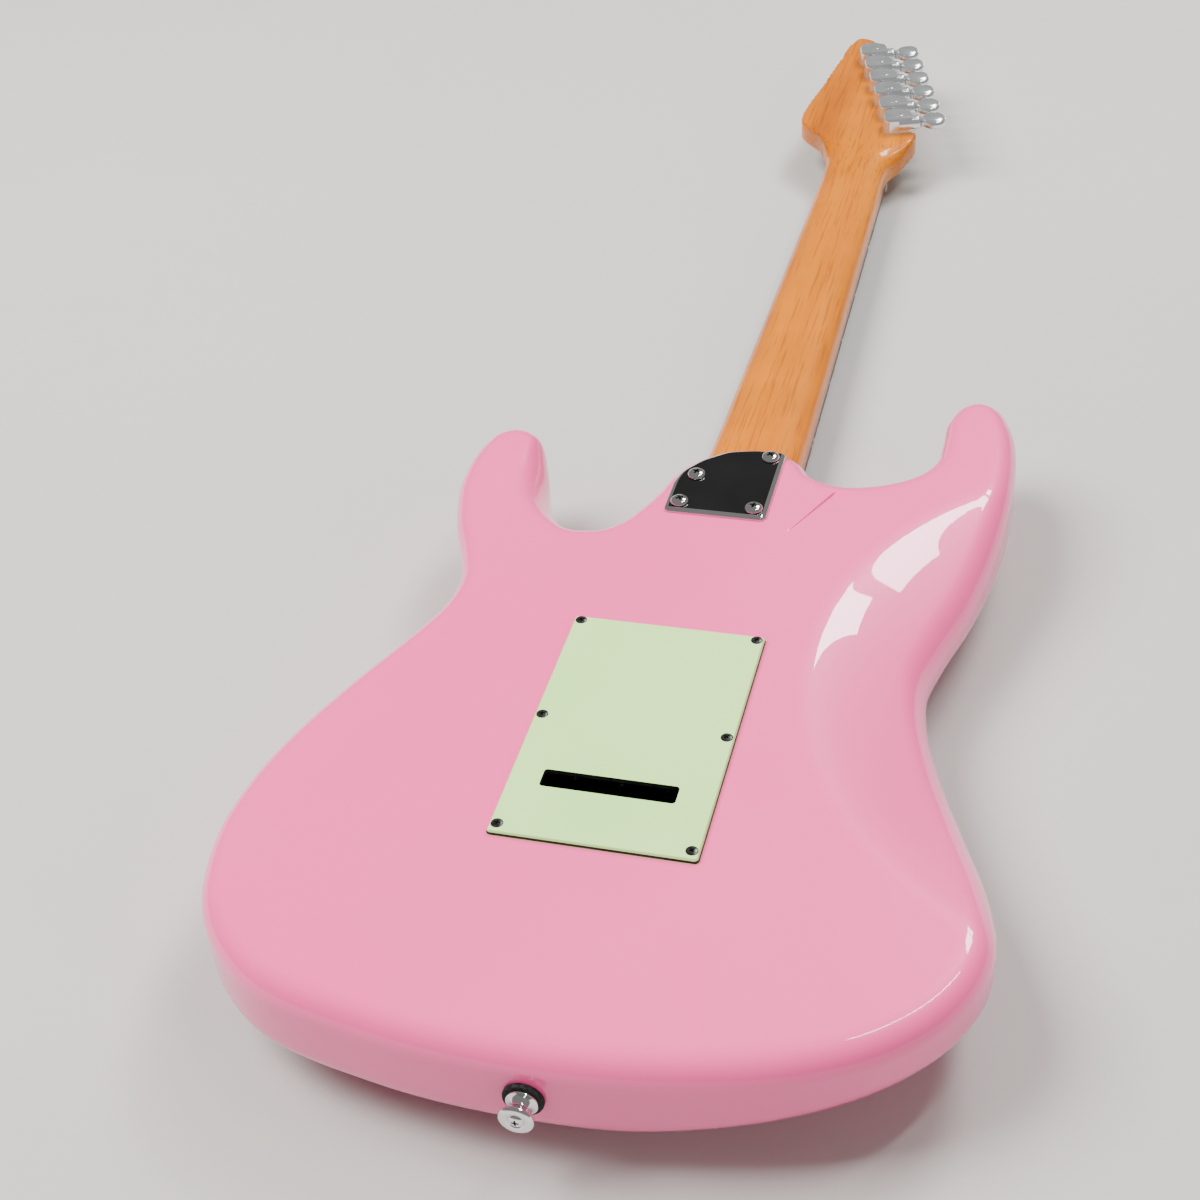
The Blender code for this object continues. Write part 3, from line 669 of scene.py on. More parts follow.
def crease_depth(x, y):
    """Depth of the crease: a steep wall on the heel's side, with a long easy rise on the bass side."""
    along, aside = crease_offset(x, y)
    share = crease_share(along)
    wall = CREASE_WALL * share
    if share <= 0 or not -wall < aside < CREASE_RISE:
        return 0.0
    if aside < 0:
        return CREASE_DROP * share * (1 + aside / wall)
    return CREASE_DROP * share * (0.5 + 0.5 * cos(pi * aside / CREASE_RISE))


def back_z(x, y):
    """Height of the body's back, with its two contours and the crease by the heel."""
    fade_start, fade_end = HORN_CONTOUR_FADE
    share = min(max((x - fade_start) / (fade_end - fade_start), 0.0), 1.0)
    contours = dished((x, y), BELLY_CONTOUR) + share * dished((x, y), HORN_CONTOUR)
    return BODY_DEPTH - contours - crease_depth(x, y)


def front_z(x, y):
    """Height of the body's front, with the forearm contour."""
    return dished((x, y), FOREARM_CONTOUR)


def edge_radii(rim, inward):
    """Radius of the edge's rounding at each point of the rim: smaller where a round horn has less room."""
    count = len(rim)
    flat = np.array([tuple(p) for p in rim])
    limits = []
    for p, normal in zip(rim, inward):
        gaps = flat - np.array(tuple(p))
        ahead = gaps @ np.array(tuple(normal))
        facing = ahead > 0.01
        room = ((gaps[facing] ** 2).sum(1) / (2 * ahead[facing])).min()
        limits.append(min(EDGE_RADIUS, EDGE_SHARE * room))
    lowest = [min(limits[(i + k) % count] for k in range(-2, 3)) for i in range(count)]
    return [sum(lowest[(i + k) % count] for k in range(-8, 9)) / 17 for i in range(count)]


def grid_inside(loop, spacing):
    """Grid points inside the loop and clear of it, with rows of closer ones along the heel's crease."""
    flat = np.array([(p.x, p.y) for p in loop])
    low, high = flat.min(0), flat.max(0)
    xs = np.arange(math.ceil(low[0] / spacing), math.floor(high[0] / spacing) + 1) * spacing
    ys = np.arange(math.ceil(low[1] / spacing), math.floor(high[1] / spacing) + 1) * spacing
    spots = [(x, y) for x in xs for y in ys if not near_crease(x, y)]
    start, end = (Vector(p) for p in HEEL_CREASE)
    across = (end - start).orthogonal().normalized()
    for step in range(1, CREASE_STEPS):
        along = step / CREASE_STEPS
        wall = -CREASE_WALL * crease_share(along)
        for offset in (-3.2, -2.2, wall - 0.6, wall, 0, 0.6, 1.4, 2.2, 3.2):
            if offset == 0 or offset != wall or wall < -0.1:
                spots.append(start.lerp(end, along) + across * offset)
    spots = np.array(spots)
    after = np.roll(flat, -1, 0)
    kept = []
    for spot in spots:
        crosses = (flat[:, 1] > spot[1]) != (after[:, 1] > spot[1])
        rise = np.where(crosses, after[:, 1] - flat[:, 1], 1.0)
        meets = flat[:, 0] + (spot[1] - flat[:, 1]) / rise * (after[:, 0] - flat[:, 0])
        inside = np.count_nonzero(crosses & (spot[0] < meets)) % 2
        if inside and np.hypot(*(flat - spot).T).min() > (0.8 if near_crease(*spot) else spacing * 0.6):
            kept.append(Vector(spot))
    return kept


def body_solid(steps, quarter_steps, spacing):
    """The body with its contours and rounded edges, before any rout."""
    rim = inset(smooth_loop(BODY_OUTLINE, steps), RIM_TRIM)
    count = len(rim)
    inward = []
    for i in range(count):
        along = (rim[(i + 1) % count] - rim[i - 1]).normalized()
        inward.append(Vector((along.y, -along.x)))
    edge = edge_radii(rim, inward)
    solid = bmesh.new()
    loops = []
    turns = [90 * step / quarter_steps for step in range(quarter_steps + 1)]
    for surface, side, angles in ((front_z, 1, turns), (back_z, -1, turns[::-1])):
        for angle in angles:
            across = 1 - sin(radians(angle))
            rise = 1 - cos(radians(angle))
            ring = []
            for p, n, radius in zip(rim, inward, edge):
                spot = p + n * (radius * across)
                ring.append(solid.verts.new((spot.x, spot.y, surface(spot.x, spot.y) + side * radius * rise)))
            loops.append(ring)
    for low, high in zip(loops, loops[1:]):
        for i in range(count):
            j = (i + 1) % count
            solid.faces.new((low[i], low[j], high[j], high[i]))
    for loop, surface in ((loops[0], front_z), (loops[-1], back_z)):
        flat = [Vector((v.co.x, v.co.y)) for v in loop]
        extra = grid_inside(flat, spacing)
        verts = loop + [solid.verts.new((p.x, p.y, surface(p.x, p.y))) for p in extra]
        edges = [(i, (i + 1) % count) for i in range(count)]
        spots, _, faces, origins, _, _ = delaunay_2d_cdt(flat + extra, edges, [], 1, 0.0001)
        source = []
        for spot, origin in zip(spots, origins):
            found = verts[origin[0]] if origin else solid.verts.new((spot.x, spot.y, surface(spot.x, spot.y)))
            source.append(found)
        for face in faces:
            solid.faces.new([source[i] for i in face])
    return solid


def neck_half_width(y):
    """Half the neck's width, which tapers evenly from the heel to the nut."""
    share = (y - HEEL_Y) / (SCALE_LENGTH - HEEL_Y)
    return (HEEL_WIDTH + (NUT_WIDTH - HEEL_WIDTH) * share) / 2


def strap_places():
    """Matrices whose +Z points out of the body's side where a strap button stands."""
    tail = move(*TAIL_BUTTON, BODY_DEPTH / 2) @ spin(90, "X")
    horn = move(*HORN_BUTTON, BODY_DEPTH / 2) @ spin(-90, "X")
    return tail, horn


def make_body():
    solid = body_solid(8, 9, 4.0)
    heel = neck_half_width(HEEL_Y) + FIT
    mouth = neck_half_width(POCKET_END_Y) + FIT
    start_y = HEEL_Y - 0.2
    pocket = [(-heel, start_y), (heel, start_y), (mouth, POCKET_END_Y), (-mouth, POCKET_END_Y)]
    solid = cut(solid, prism(pocket, -5, HEEL_BACK_Z + 0.1))
    # The routs and holes below take the second finish: near-black painted shade.
    solid = cut(solid, prism(rounded_rectangle(*BRIDGE_ROUT), -5, BODY_DEPTH + 5, 1))
    solid = cut(solid, prism(rounded_rectangle(*SPRING_ROUT), SPRING_ROUT_FLOOR, BODY_DEPTH + 5, 1))
    size, radius, depth = PICKUP_ROUT
    for _, y, slant in PICKUPS:
        outline = turned(rounded_rectangle((0, y), size, radius), (0, y), slant)
        solid = cut(solid, prism(outline, -5, depth, 1))
    low, high, depth = WIRE_WAY
    solid = cut(solid, box((*low, -5), (*high, depth), 1))
    solid = cut(solid, prism(CONTROL_CAVITY, -5, CONTROL_DEPTH, 1))
    holes = bores(PIVOT_POSTS, 4.4, -5, 20, 24, 1) + bores([JACK_CENTRE], 11, -5, 30, 32, 1)
    holes += bores(NECK_SCREWS, 2.5, 5, 50, 16, 1)
    holes += [lathe([(2.5, -25), (2.5, 5)], 16, matrix, [1]) for matrix in strap_places()]
    solid = cut(solid, *holes)
    piece("body_skin", solid, [PINK, HOLLOW_SHADE], stands_for=["body"], sharp=50, weighted=False)


# ---------------------------------------------------------------- neck and head

def smooth_table(rows, y):
    """Values at y from rows of (y, values), eased between the rows."""
    if y <= rows[0][0]:
        return rows[0][1:]
    for low, high in zip(rows, rows[1:]):
        if y <= high[0]:
            t = (y - low[0]) / (high[0] - low[0])
            t = t * t * (3 - 2 * t)
            return tuple(a + (b - a) * t for a, b in zip(low[1:], high[1:]))
    return rows[-1][1:]


# Along the neck: y, back height, squareness of the back, share of the flat head, height of the front
NECK_PROFILE = [
    (182, 15.9, 9, 0, NECK_TOP_Z), (250, 15.9, 9, 0, NECK_TOP_Z), (264, 15.0, 5, 0, NECK_TOP_Z),
    (282, 13.5, 2.8, 0, NECK_TOP_Z), (330, 13.2, 2.3, 0, NECK_TOP_Z), (480, 12.8, 2.2, 0, NECK_TOP_Z),
    (622, 12.3, 2.2, 0, NECK_TOP_Z), (653, 14.3, 2.3, 0.12, NECK_TOP_Z),
    (676, HEAD_BACK_Z, 3, 1, HEAD_FRONT_Z),
]
HEAD_EDGE = 2.6  # rounding of the head's edges


def head_sides():
    """Outline of the neck's end and the head, as two runs of points that rise along Y: treble and bass."""
    start, end = (neck_half_width(600), 600), (neck_half_width(622), 622)
    loop = [start, end, *HEAD_OUTLINE, (-end[0], end[1]), (-start[0], start[1])]
    curve = smooth_loop(loop, 14)
    top = max(range(len(curve)), key=lambda i: curve[i].y)
    bottom = len(curve) - 14
    bass = np.array([tuple(p) for p in curve[:top + 1]])
    treble = np.array([tuple(p) for p in curve[top:bottom]][::-1])
    return treble, bass


def edge_fall(rim, x, y):
    """How far the rounding of the head's edge has brought its face down at a point."""
    clear = min(HEAD_EDGE, float(np.hypot(rim[:, 0] - x, rim[:, 1] - y).min()))
    return HEAD_EDGE - sqrt(HEAD_EDGE ** 2 - (HEAD_EDGE - clear) ** 2)


def make_neck():
    treble, bass = head_sides()
    rim = np.vstack([treble, bass])
    tip = bass[-1][1]
    stations = [HEEL_Y + 0.2, 190, *range(200, 250, 10), *range(250, 290, 3), *range(290, 620, 10)]
    stations += [620 + 2.0 * k for k in range(106)]
    stations += [tip - gap for gap in (5, 4, 3, 2.2, 1.5, 1.0, 0.6, 0.3, 0.12, 0.03)]
    across = [cos(pi * k / 44) for k in range(45)]
    rings = []
    for y in stations:
        back, power, head, front = smooth_table(NECK_PROFILE, y)
        if y < 622:
            low, high = -neck_half_width(y), neck_half_width(y)
        else:
            low = float(np.interp(y, treble[:, 1], treble[:, 0]))
            high = float(np.interp(y, bass[:, 1], bass[:, 0]))
        middle, half = (low + high) / 2, (high - low) / 2
        shoulder = front + 0.25 * (back - front)
        ring = []
        for s in across:
            x = middle + s * half
            round_z = shoulder + (back - shoulder) * max(0.0, 1 - abs(s) ** power) ** (1 / power)
            fall = edge_fall(rim, x, y) if head else 0.0
            ring.append((x, y, round_z * (1 - head) + (back - fall) * head))
        for s in across[::-1]:
            x = middle + s * half
            fall = edge_fall(rim, x, y) if head else 0.0
            ring.append((x, y, front + fall * head))
        rings.append(ring)
    solid = skin(rings)
    holes = [lathe([(4.0, -5), (4.0, 20)], 20, tuner_place(i)) for i in range(6)]
    holes += bores(NECK_SCREWS, 2.3, 0, 20, 14)
    solid = cut(solid, *holes)
    piece("neck_skin", solid, [MAPLE], stands_for=["neck"], sharp=48, weighted=False)


def make_fretboard():
    bottom = NECK_TOP_Z - SKIN
    rings = []
    for y in (FRETBOARD_END_Y, FRETBOARD_END_Y + 0.6, *range(180, 640, 20), SCALE_LENGTH - 0.3, SCALE_LENGTH):
        half = neck_half_width(y) - (0.5 if y in (FRETBOARD_END_Y, SCALE_LENGTH) else 0.0)
        ring = [(half, y, bottom), (-half, y, bottom)]
        for share in (-1, -0.985, -0.96, -0.8, -0.6, -0.4, -0.2, 0, 0.2, 0.4, 0.6, 0.8, 0.96, 0.985, 1):
            x = half * share
            roll = {1: 1.0, 0.985: 0.3, 0.96: 0.06}.get(abs(share), 0.0)
            ring.append((x, y, FRETBOARD_FACE_Z + x * x / (2 * FRETBOARD_RADIUS) + roll))
        rings.append(ring)
    piece("fretboard_wood", skin(rings), [ROSEWOOD], stands_for=["fretboard"])
    frets = []
    for number in range(1, 23):
        y = SCALE_LENGTH / 2 ** (number / 12)
        half = neck_half_width(y) - 0.1
        rings = []
        for share in (-1, -0.985, -0.96, -0.75, -0.5, -0.25, 0, 0.25, 0.5, 0.75, 0.96, 0.985, 1):
            x = half * share
            drop = {1: 0.75, 0.985: 0.35, 0.96: 0.06}.get(abs(share), 0.0)
            seat = FRETBOARD_FACE_Z + x * x / (2 * FRETBOARD_RADIUS)
            crown = [(1.2, 0.4), (1.2, -0.15), (0.95, -0.6), (0.5, -0.95), (0, -1.05)]
            crown += [(-a, b) for a, b in crown[-2::-1]]
            rings.append([(x, y + a, seat + min(b + drop, 0.6)) for a, b in crown])
        frets.append(skin(rings))
    piece("frets", joined(frets), [NICKEL], sharp=50)
    dots = []
    for number in (3, 5, 7, 9, 12, 15, 17, 19, 21):
        y = SCALE_LENGTH * (2 ** (-number / 12) + 2 ** (-(number - 1) / 12)) / 2
        side_x = neck_half_width(y)
        for shift in ((-9, 9) if number == 12 else (0,)):
            seat = FRETBOARD_FACE_Z + shift * shift / (2 * FRETBOARD_RADIUS)
            dots.append(lathe([(3.1, 0.5), (3.1, 0), (2.9, -0.06)], 24, move(shift * 1.0, y, seat)))
            edge = move(side_x - 0.5, y + shift * 0.35, -6.2) @ spin(90, "Y")
            dots.append(lathe([(1.1, 0), (1.1, 0.5), (0.9, 0.6)], 18, edge))
    piece("position_dots", joined(dots), [PEARL])


def make_nut():
    low, high = SCALE_LENGTH + 0.02, SCALE_LENGTH + 3.6
    rings = []
    for x in np.linspace(-NUT_WIDTH / 2, NUT_WIDTH / 2, 17):
        curve = x * x / (2 * FRETBOARD_RADIUS)
        rings.append([
            (x, low, NECK_TOP_Z - SKIN), (x, low, -11.6 + curve), (x, low + 0.5, -12.15 + curve),
            (x, low + 1.6, -12.1 + curve), (x, high - 0.5, -11.0 + curve), (x, high, -10.4 + curve),
            (x, high, NECK_TOP_Z - SKIN),
        ])
    slots = []
    for x, diameter in zip(STRINGS_AT_NUT, STRING_DIAMETERS):
        radius = diameter / 2
        path = [(x, low - 2, NUT_SLOT_Z - radius), (x, high + 2, NUT_SLOT_Z + 0.4 - radius)]
        slots.append(tube(path, radius + 0.12, 12))
        slots.append(box((x - radius, low - 1, -14), (x + radius, high + 1, NUT_SLOT_Z - 0.1)))
    solid = skin(rings)
    for slot in slots:
        solid = cut(solid, slot)
    piece("nut_bone", solid, [CREAM, CREAM], stands_for=["nut"])


def make_neck_joint():
    outline = round_corners(NECK_PLATE, 3.5)
    low = BODY_DEPTH + SKIN
    levels = [(0.25, 0), (0, 0.25), (0, 0.9), (0.35, 1.35), (1.7, 2.1), (2.1, 2.2)]
    plate = stepped(outline, [(distance, low + height) for distance, height in levels])
    face = stepped(outline, [(2.15, low + 2.1), (2.15, low + 2.2), (2.3, low + 2.28)], [1, 1])
    holes = bores(NECK_SCREWS, 2.5, low - 1, low + 4)
    sink = [(2.5, low - 1), (2.5, low + 1), (4.9, low + 2.5)]
    sinks = [lathe(sink, 28, move(x, y)) for x, y in NECK_SCREWS]
    piece("neck_plate_rim", cut(plate, *holes), [CHROME, CHROME], stands_for=["neck_plate"])
    piece("neck_plate_face", cut(face, *sinks), [BLACK_CHROME, BLACK_CHROME])
    profile = [
        (1.9, -30), (2.1, -0.2), (3.4, -0.1), (4.35, 0.1), (4.6, 0.5), (4.45, 1.1), (4.0, 1.7), (3.1, 2.2),
        (1.9, 2.5), (0.8, 2.6), (0.03, 2.62),
    ]
    screw = cut(lathe(profile, 36), cross_recess(2.5, 1.7, 2.5))
    for i, (x, y) in enumerate(NECK_SCREWS, start=1):
        one = copies(screw.copy(), [move(x, y, low + 2.25) @ Matrix.Rotation(0.7 * i, 4, "Z")])
        piece(f"neck_bolt_{i}", one, CHROME_SCREW, stands_for=[f"neck_screw_{i}"])
    screw.free()


def make_strap_buttons():
    profile = [
        (2.2, -18), (2.2, 2.0), (6.3, 2.05), (6.6, 2.4), (6.5, 3.0), (5.4, 3.5), (4.4, 4.4), (4.0, 5.8),
        (4.2, 7.2), (5.2, 8.5), (6.8, 9.2), (7.2, 9.8), (7.25, 10.6), (6.9, 11.2), (6.0, 11.6), (4.6, 11.75),
        (3.7, 11.3), (3.3, 10.9),
    ]
    for name, matrix in zip(("tail", "horn"), strap_places()):
        solid = lathe(profile, 48, matrix)
        piece(f"strap_button_{name}_metal", solid, [CHROME], stands_for=[f"strap_button_{name}"])
        screw = [(2.0, 9.0), (3.2, 10.9), (3.2, 11.1), (2.9, 11.55), (2.2, 11.95), (1.2, 12.15), (0.03, 12.2)]
        screw = cut(lathe(screw, 32), cross_recess(1.9, 1.3, 12.1))
        screw.transform(matrix)
        piece(f"strap_screw_{name}", screw, CHROME_SCREW)
        washer = [(2.4, -0.6), (8.0, -0.6), (8.4, -0.1), (8.5, 0.9), (8.2, 1.7), (7.6, 1.95), (2.4, 1.98)]
        piece(f"strap_felt_{name}", lathe(washer, 40, matrix), [FELT])


# ---------------------------------------------------------------- cover, springs and bridge

# The black middle ply is thicker than a real one: painted shade along the sheets' edges.
PLY_LEVELS = [(0, 0), (0.05, 0.35), (0.5, 1.4), (1.05, 2.2), (1.2, 2.3)]
PLY_MARKS = [0, 1, 0, 0]


def ply_plate(outline, seat, side):
    """Three-ply sheet with a bevelled edge, its black middle ply thickened as painted shade; side is 1 for
    the back and -1 for the front.
    """
    levels = [(distance, seat + side * height) for distance, height in PLY_LEVELS]
    return stepped(outline, levels, PLY_MARKS)


def ply_cutter(outline, seat, side):
    """A cutter whose walls carry the three plies, the black one thickened as painted shade."""
    heights = [-1.0, 0.35, 1.4, 4.0]
    return skin([[(x, y, seat + side * h) for x, y in outline] for h in heights], [0, 1, 0])


def make_cover():
    low = BODY_DEPTH + SKIN
    solid = ply_plate(rounded_rectangle(COVER_CENTRE, COVER_SIZE, 2.2), low, 1)
    # The slot's walls are black ply all the way up: painted shade inside the slot.
    solid = cut(solid, prism(rounded_rectangle(*COVER_SLOT, 1.6), low - 1, low + 4, 1))
    spots = [(COVER_CENTRE[0] + side * 42.0, y) for side in (-1, 1) for y in (95.0, 28.0, -41.5)]
    sinks = [lathe([(1.7, low - 1), (1.7, low + 1.0), (3.0, low + 2.5)], 20, move(x, y)) for x, y in spots]
    solid = cut(solid, *sinks)
    piece("spring_cover", solid, [MINT, BLACK_PLY_AND_SHADE], stands_for=["tremolo_cover"])
    screw = oval_screw(2.75, 0.55)
    turns = [Matrix.Rotation(0.4 + 1.3 * i, 4, "Z") for i in range(len(spots))]
    places = [move(x, y, low + 2.2) @ turn for (x, y), turn in zip(spots, turns)]
    # The dark screws' cross recesses take black ply as painted shade.
    piece("cover_screws", copies(screw, places), [DARK_METAL_AND_RECESS_SHADE, BLACK_PLY_AND_SHADE])


def coil(start, end, x, z, radius, wire, turns):
    """Close-wound spring along Y with a hook at each end."""
    path = [(x, start - 6.5, z - 2.2), (x, start - 5.5, z), (x, start - 2, z)]
    steps = 12
    for i in range(turns * steps + 1):
        angle = 2 * pi * i / steps
        grow = min(1.0, i / steps, (turns * steps - i) / steps)
        y = start + (end - start) * i / (turns * steps)
        path.append((x + radius * grow * sin(angle), y, z + radius * grow * cos(angle)))
    path += [(x, end + 2, z), (x, end + 3.5, z), (x, end + 4.5, z - 2.0)]
    return tube(path, wire, 6)


def make_springs():
    for i, x in enumerate((-21.0, 0.0, 21.0), start=1):
        solid = coil(1.0, 78.0, x, 36.5, 3.2, 0.55, 40)
        piece(f"spring_coil_{i}", solid, [STEEL], stands_for=[f"tremolo_spring_{i}"], weighted=False,
              blend=("bridge", "guitar", row(x, -4, 36.5), row(x, 70, 36.5)))
    claw = [(82.2, 31), (83.8, 31), (83.8, 42), (82.2, 42)]
    plate = bar(claw, -27, 27)
    notches = [box((x - 5, 78, 38.6), (x + 5, 88, 44)) for x in (-10.5, 10.5)]
    plate = soften(cut(plate, *notches), 0.4)
    piece("claw_plate", plate, [STEEL, STEEL], stands_for=["spring_claw"])
    lean = spin(90, "X")
    profile = [(1.8, -9.5), (1.8, 0), (3.4, 0.4), (3.6, 1.0), (3.0, 1.9), (1.6, 2.3), (0.03, 2.4)]
    screw = cut(lathe(profile, 24), cross_recess(2.0, 1.4, 2.2))
    places = [move(x, 82.0, 35) @ lean for x in (-10.5, 10.5)]
    # The claw screws' cross recesses take dark metal as painted shade.
    piece("claw_screws", copies(screw, places), [STEEL, DARK_METAL_AND_RECESS_SHADE])


def row(x, y, z):
    """A point of the luthier's frame in metres, in the model's frame."""
    return tuple((Vector((x, y, z)) - ORIGIN) * MM)


def make_bridge():
    outline = [
        (6.4, -3.42), (-26, -3.42), (-26, -12.5), (-24.4, -12.5), (-24.2, -5.6), (-23.6, -5.1), (6.4, -5.1),
    ]
    plate = cut(bar(outline, -36, 36), *bores(PIVOT_POSTS, 3.35, -9, 0))
    ways = [box((x - 1.7, -14, -8), (x + 1.7, -7.5, 0)) for x in STRINGS_AT_BRIDGE]
    plate = soften(cut(plate, *ways), 0.35)
    piece("bridge_base", plate, [CHROME, CHROME], "bridge", ["bridge_plate"])
    block = soften(bar([(-5, -3.15), (-18, -3.15), (-17, 38), (-6, 38)], -34, 34), 0.8)
    channel = [(1.3, -6), (1.3, 26), (3.5, 26.5), (3.5, 41)]
    # The string channels take near-black painted shade.
    channels = [lathe(channel, 24, move(x, BALL_Y), [1]) for x in STRINGS_AT_BRIDGE]
    piece("inertia_block", cut(block, *channels), [STEEL, HOLLOW_SHADE], "bridge", ["tremolo_block"])
    ball = [(1.2, 27), (2.0, 27.2), (2.0, 29.6), (1.2, 29.8)]
    balls = [lathe(ball, 20, move(x, BALL_Y)) for x in STRINGS_AT_BRIDGE]
    piece("string_ball_ends", joined(balls), [BRASS], "bridge")
    saddle_screws, springs = [], []
    for number, x in enumerate(STRINGS_AT_BRIDGE, start=1):
        profile = [
            (1.5, -5.8), (-17, -5.8), (-17, -11.5), (-15.5, -12.6), (-10, -13.5), (-3, -13.85), (0.4, -13.9),
            (1.3, -13.5), (1.5, -12.8),
        ]
        solid = bar(profile, x - 5.05, x + 5.05)
        solid = cut(solid, box((x - 2, -13, -20), (x + 2, -2.6, 0)))
        # The two screw holes take near-black painted shade.
        solid = cut(solid, *bores([(x - 3.6, -4.5), (x + 3.6, -4.5)], 1.3, -16, -9, 12, 1))
        solid = soften(solid, 0.3)
        piece(f"saddle_steel_{number}", solid, [CHROME, HOLLOW_SHADE], "bridge", [f"saddle_{number}"])
        saddle_screws.append(move(x, -26.05, SADDLE_SCREW_Z))
        helix = []
        for a in (k * 0.52 for k in range(85)):
            helix.append((x + 1.9 * sin(a), -23.8 + 6.4 * a / 44, SADDLE_SCREW_Z + 1.9 * cos(a)))
        springs.append(tube(helix, 0.28, 5))
    head = [(1.3, -9), (1.3, 0.0), (2.4, 0.05), (2.5, 0.5), (2.0, 1.2), (1.0, 1.55), (0.03, 1.6)]
    screw = cut(lathe(head, 20), cross_recess(1.4, 0.9, 1.5))
    screw.transform(spin(90, "X"))
    piece("saddle_screws", copies(screw, saddle_screws), CHROME_SCREW, "bridge")
    piece("saddle_springs", joined(springs), [STEEL], "bridge", weighted=False)
    posts = [
        (4.1, 18), (4.1, -2.1), (3.2, -2.5), (3.2, -6.2), (4.7, -6.25), (4.75, -8.4), (4.3, -9.1),
        (1.7, -9.2), (1.7, -7.0),
    ]
    for side, spot in zip(("bass", "treble"), PIVOT_POSTS):
        stud = lathe(posts, 36, move(*spot))
        piece(f"post_{side}_stud", stud, [CHROME], stands_for=[f"pivot_post_{side}"])


# ---------------------------------------------------------------- pickguard, pickups, controls and jack

def make_pickguard():
    outline = smooth_loop(PICKGUARD_OUTLINE, 6)
    solid = ply_plate(outline, -SKIN, -1)
    half = neck_half_width(HEEL_Y) + 0.2
    bay = round_corners([(-half, HEEL_Y - 0.2), (half, HEEL_Y - 0.2), (half, 290), (-half, 290)], 1.0)
    solid = cut(solid, ply_cutter(bay, 0, -1))
    bridge_bay = round_corners([(-41, 15.5), (-41, -60), (60, -60), (60, 15.5)], 3.0)
    solid = cut(solid, ply_cutter(bridge_bay, 0, -1))
    openings = []
    for _, y, slant in PICKUPS:
        size = (PICKUP_SIZE[0] + 0.5, PICKUP_SIZE[1] + 0.5)
        outline = turned(rounded_rectangle((0, y), size, size[1] / 2, 10), (0, y), slant)
        openings.append(ply_cutter(outline, 0, -1))
    openings += bores([knob[2:] for knob in KNOBS], 3.8, -6, 3)
    slot = turned(rounded_rectangle(SELECTOR, (2.6, 29.0), 1.2), SELECTOR, -SELECTOR_ANGLE)
    openings.append(ply_cutter(slot, 0, -1))
    solid = cut(solid, *openings)
    piece("guard_sheet", solid, [MINT, BLACK_PLY_AND_SHADE], stands_for=["pickguard"])
    spots = [
        (114.5, 251), (99, 187), (69.5, 112), (51, 40), (-72, -78), (-94.5, -48), (-96.5, 62), (-90, 140),
        (-112.5, 218), (-47, 159.5), (54, 212.5),
    ]
    screw = oval_screw(2.7, 0.7, 2.0)
    places = [move(x, y, -2.45) @ FLIP @ Matrix.Rotation(0.9 * i, 4, "Z") for i, (x, y) in enumerate(spots)]
    piece("guard_screws", copies(screw, places), CHROME_SCREW)


def make_pickups():
    poles, screws = [], []
    for name, y, slant in PICKUPS:
        outline = turned(rounded_rectangle((0, y), PICKUP_SIZE, PICKUP_SIZE[1] / 2, 12), (0, y), slant)
        levels = [(0, 12), (0, -6.0), (0.2, -6.8), (0.7, -7.25), (1.3, -7.38)]
        piece(f"{name}_shell", stepped(outline, levels), [MINT], stands_for=[name])
        tilt = move(0, y) @ spin(slant)
        pitch = 8.6 + (152 - y) * 0.012
        for i, rise in enumerate((0.9, 0.9, 1.1, 1.1, 0.7, 0.6)):
            pole = [(2.4, -4), (2.4, -7.3 - rise), (2.1, -7.55 - rise)]
            poles.append(lathe(pole, 24, tilt @ move(pitch * (2.5 - i), 0)))
        for side in (-1, 1):
            screws.append(tilt @ move(side * 40.0, 0, -2.6) @ FLIP @ Matrix.Rotation(1.1 * side, 4, "Z"))
    piece("pickup_poles", joined(poles), [NICKEL])
    screw = oval_screw(2.6, 1.2, 2.0)
    piece("pickup_screws", copies(screw, screws), CHROME_SCREW)


def make_controls():
    profile = [
        (3.3, 8), (3.3, -3.4), (12.2, -3.4), (12.6, -3.7), (12.6, -4.4), (12.2, -5.2), (10.6, -6.4),
        (9.4, -7.3), (8.95, -8.4), (8.75, -12), (8.4, -18.6), (8.0, -19.5), (7.2, -19.95), (5.6, -19.98),
        (5.2, -19.5), (0.03, -19.4),
    ]
    for name, body, x, y in KNOBS:
        solid = lathe(profile, 144, move(x, y), ribs=(36, 0.35, {8, 9, 10, 11}))
        piece(f"{name}_cap", solid, [MINT], body, [name])
        mark = box((-0.35, -7.4, -20.0), (0.35, -5.9, -19.6))
        mark.transform(move(x, y))
        piece(f"{name}_mark", mark, [BLACK_PLY_AND_SHADE], body)
    seat = move(*SELECTOR) @ spin(-SELECTOR_ANGLE)
    # The frame's opening takes near-black painted shade.
    frame_box = cut(soften(box((-5, -20, 4.5), (5, 20, 24)), 0.6), box((-2.4, -16, 0), (2.4, 16, 17), 1))
    frame_box.transform(seat)
    piece("selector_frame", frame_box, [STEEL, HOLLOW_SHADE], stands_for=["selector_switch"])
    blade = soften(bar([(2.4, 14), (-2.4, 14), (-1.4, -4), (-1.3, -9), (1.3, -9), (1.4, -4)], -0.6, 0.6), 0.2)
    blade.transform(seat)
    piece("selector_blade", blade, [STEEL], "selector", ["selector_lever"])
    sections = [
        (-7.4, 1.5, 1.9), (-7.9, 1.9, 2.7), (-9.5, 2.05, 3.1), (-12, 2.2, 3.4), (-15.4, 2.3, 3.4),
        (-16.6, 1.9, 2.8), (-17.0, 1.1, 1.8),
    ]
    tip = skin([[(x, y, z) for x, y in superellipse(wide, long, 0.7, 28)] for z, wide, long in sections])
    tip.transform(seat)
    piece("selector_tip", tip, [MINT], "selector")
    screws = [seat @ move(0, side * 18.5, -2.45) @ FLIP for side in (-1, 1)]
    piece("selector_screws", copies(oval_screw(2.6, 0.8, 2.0), screws), CHROME_SCREW)


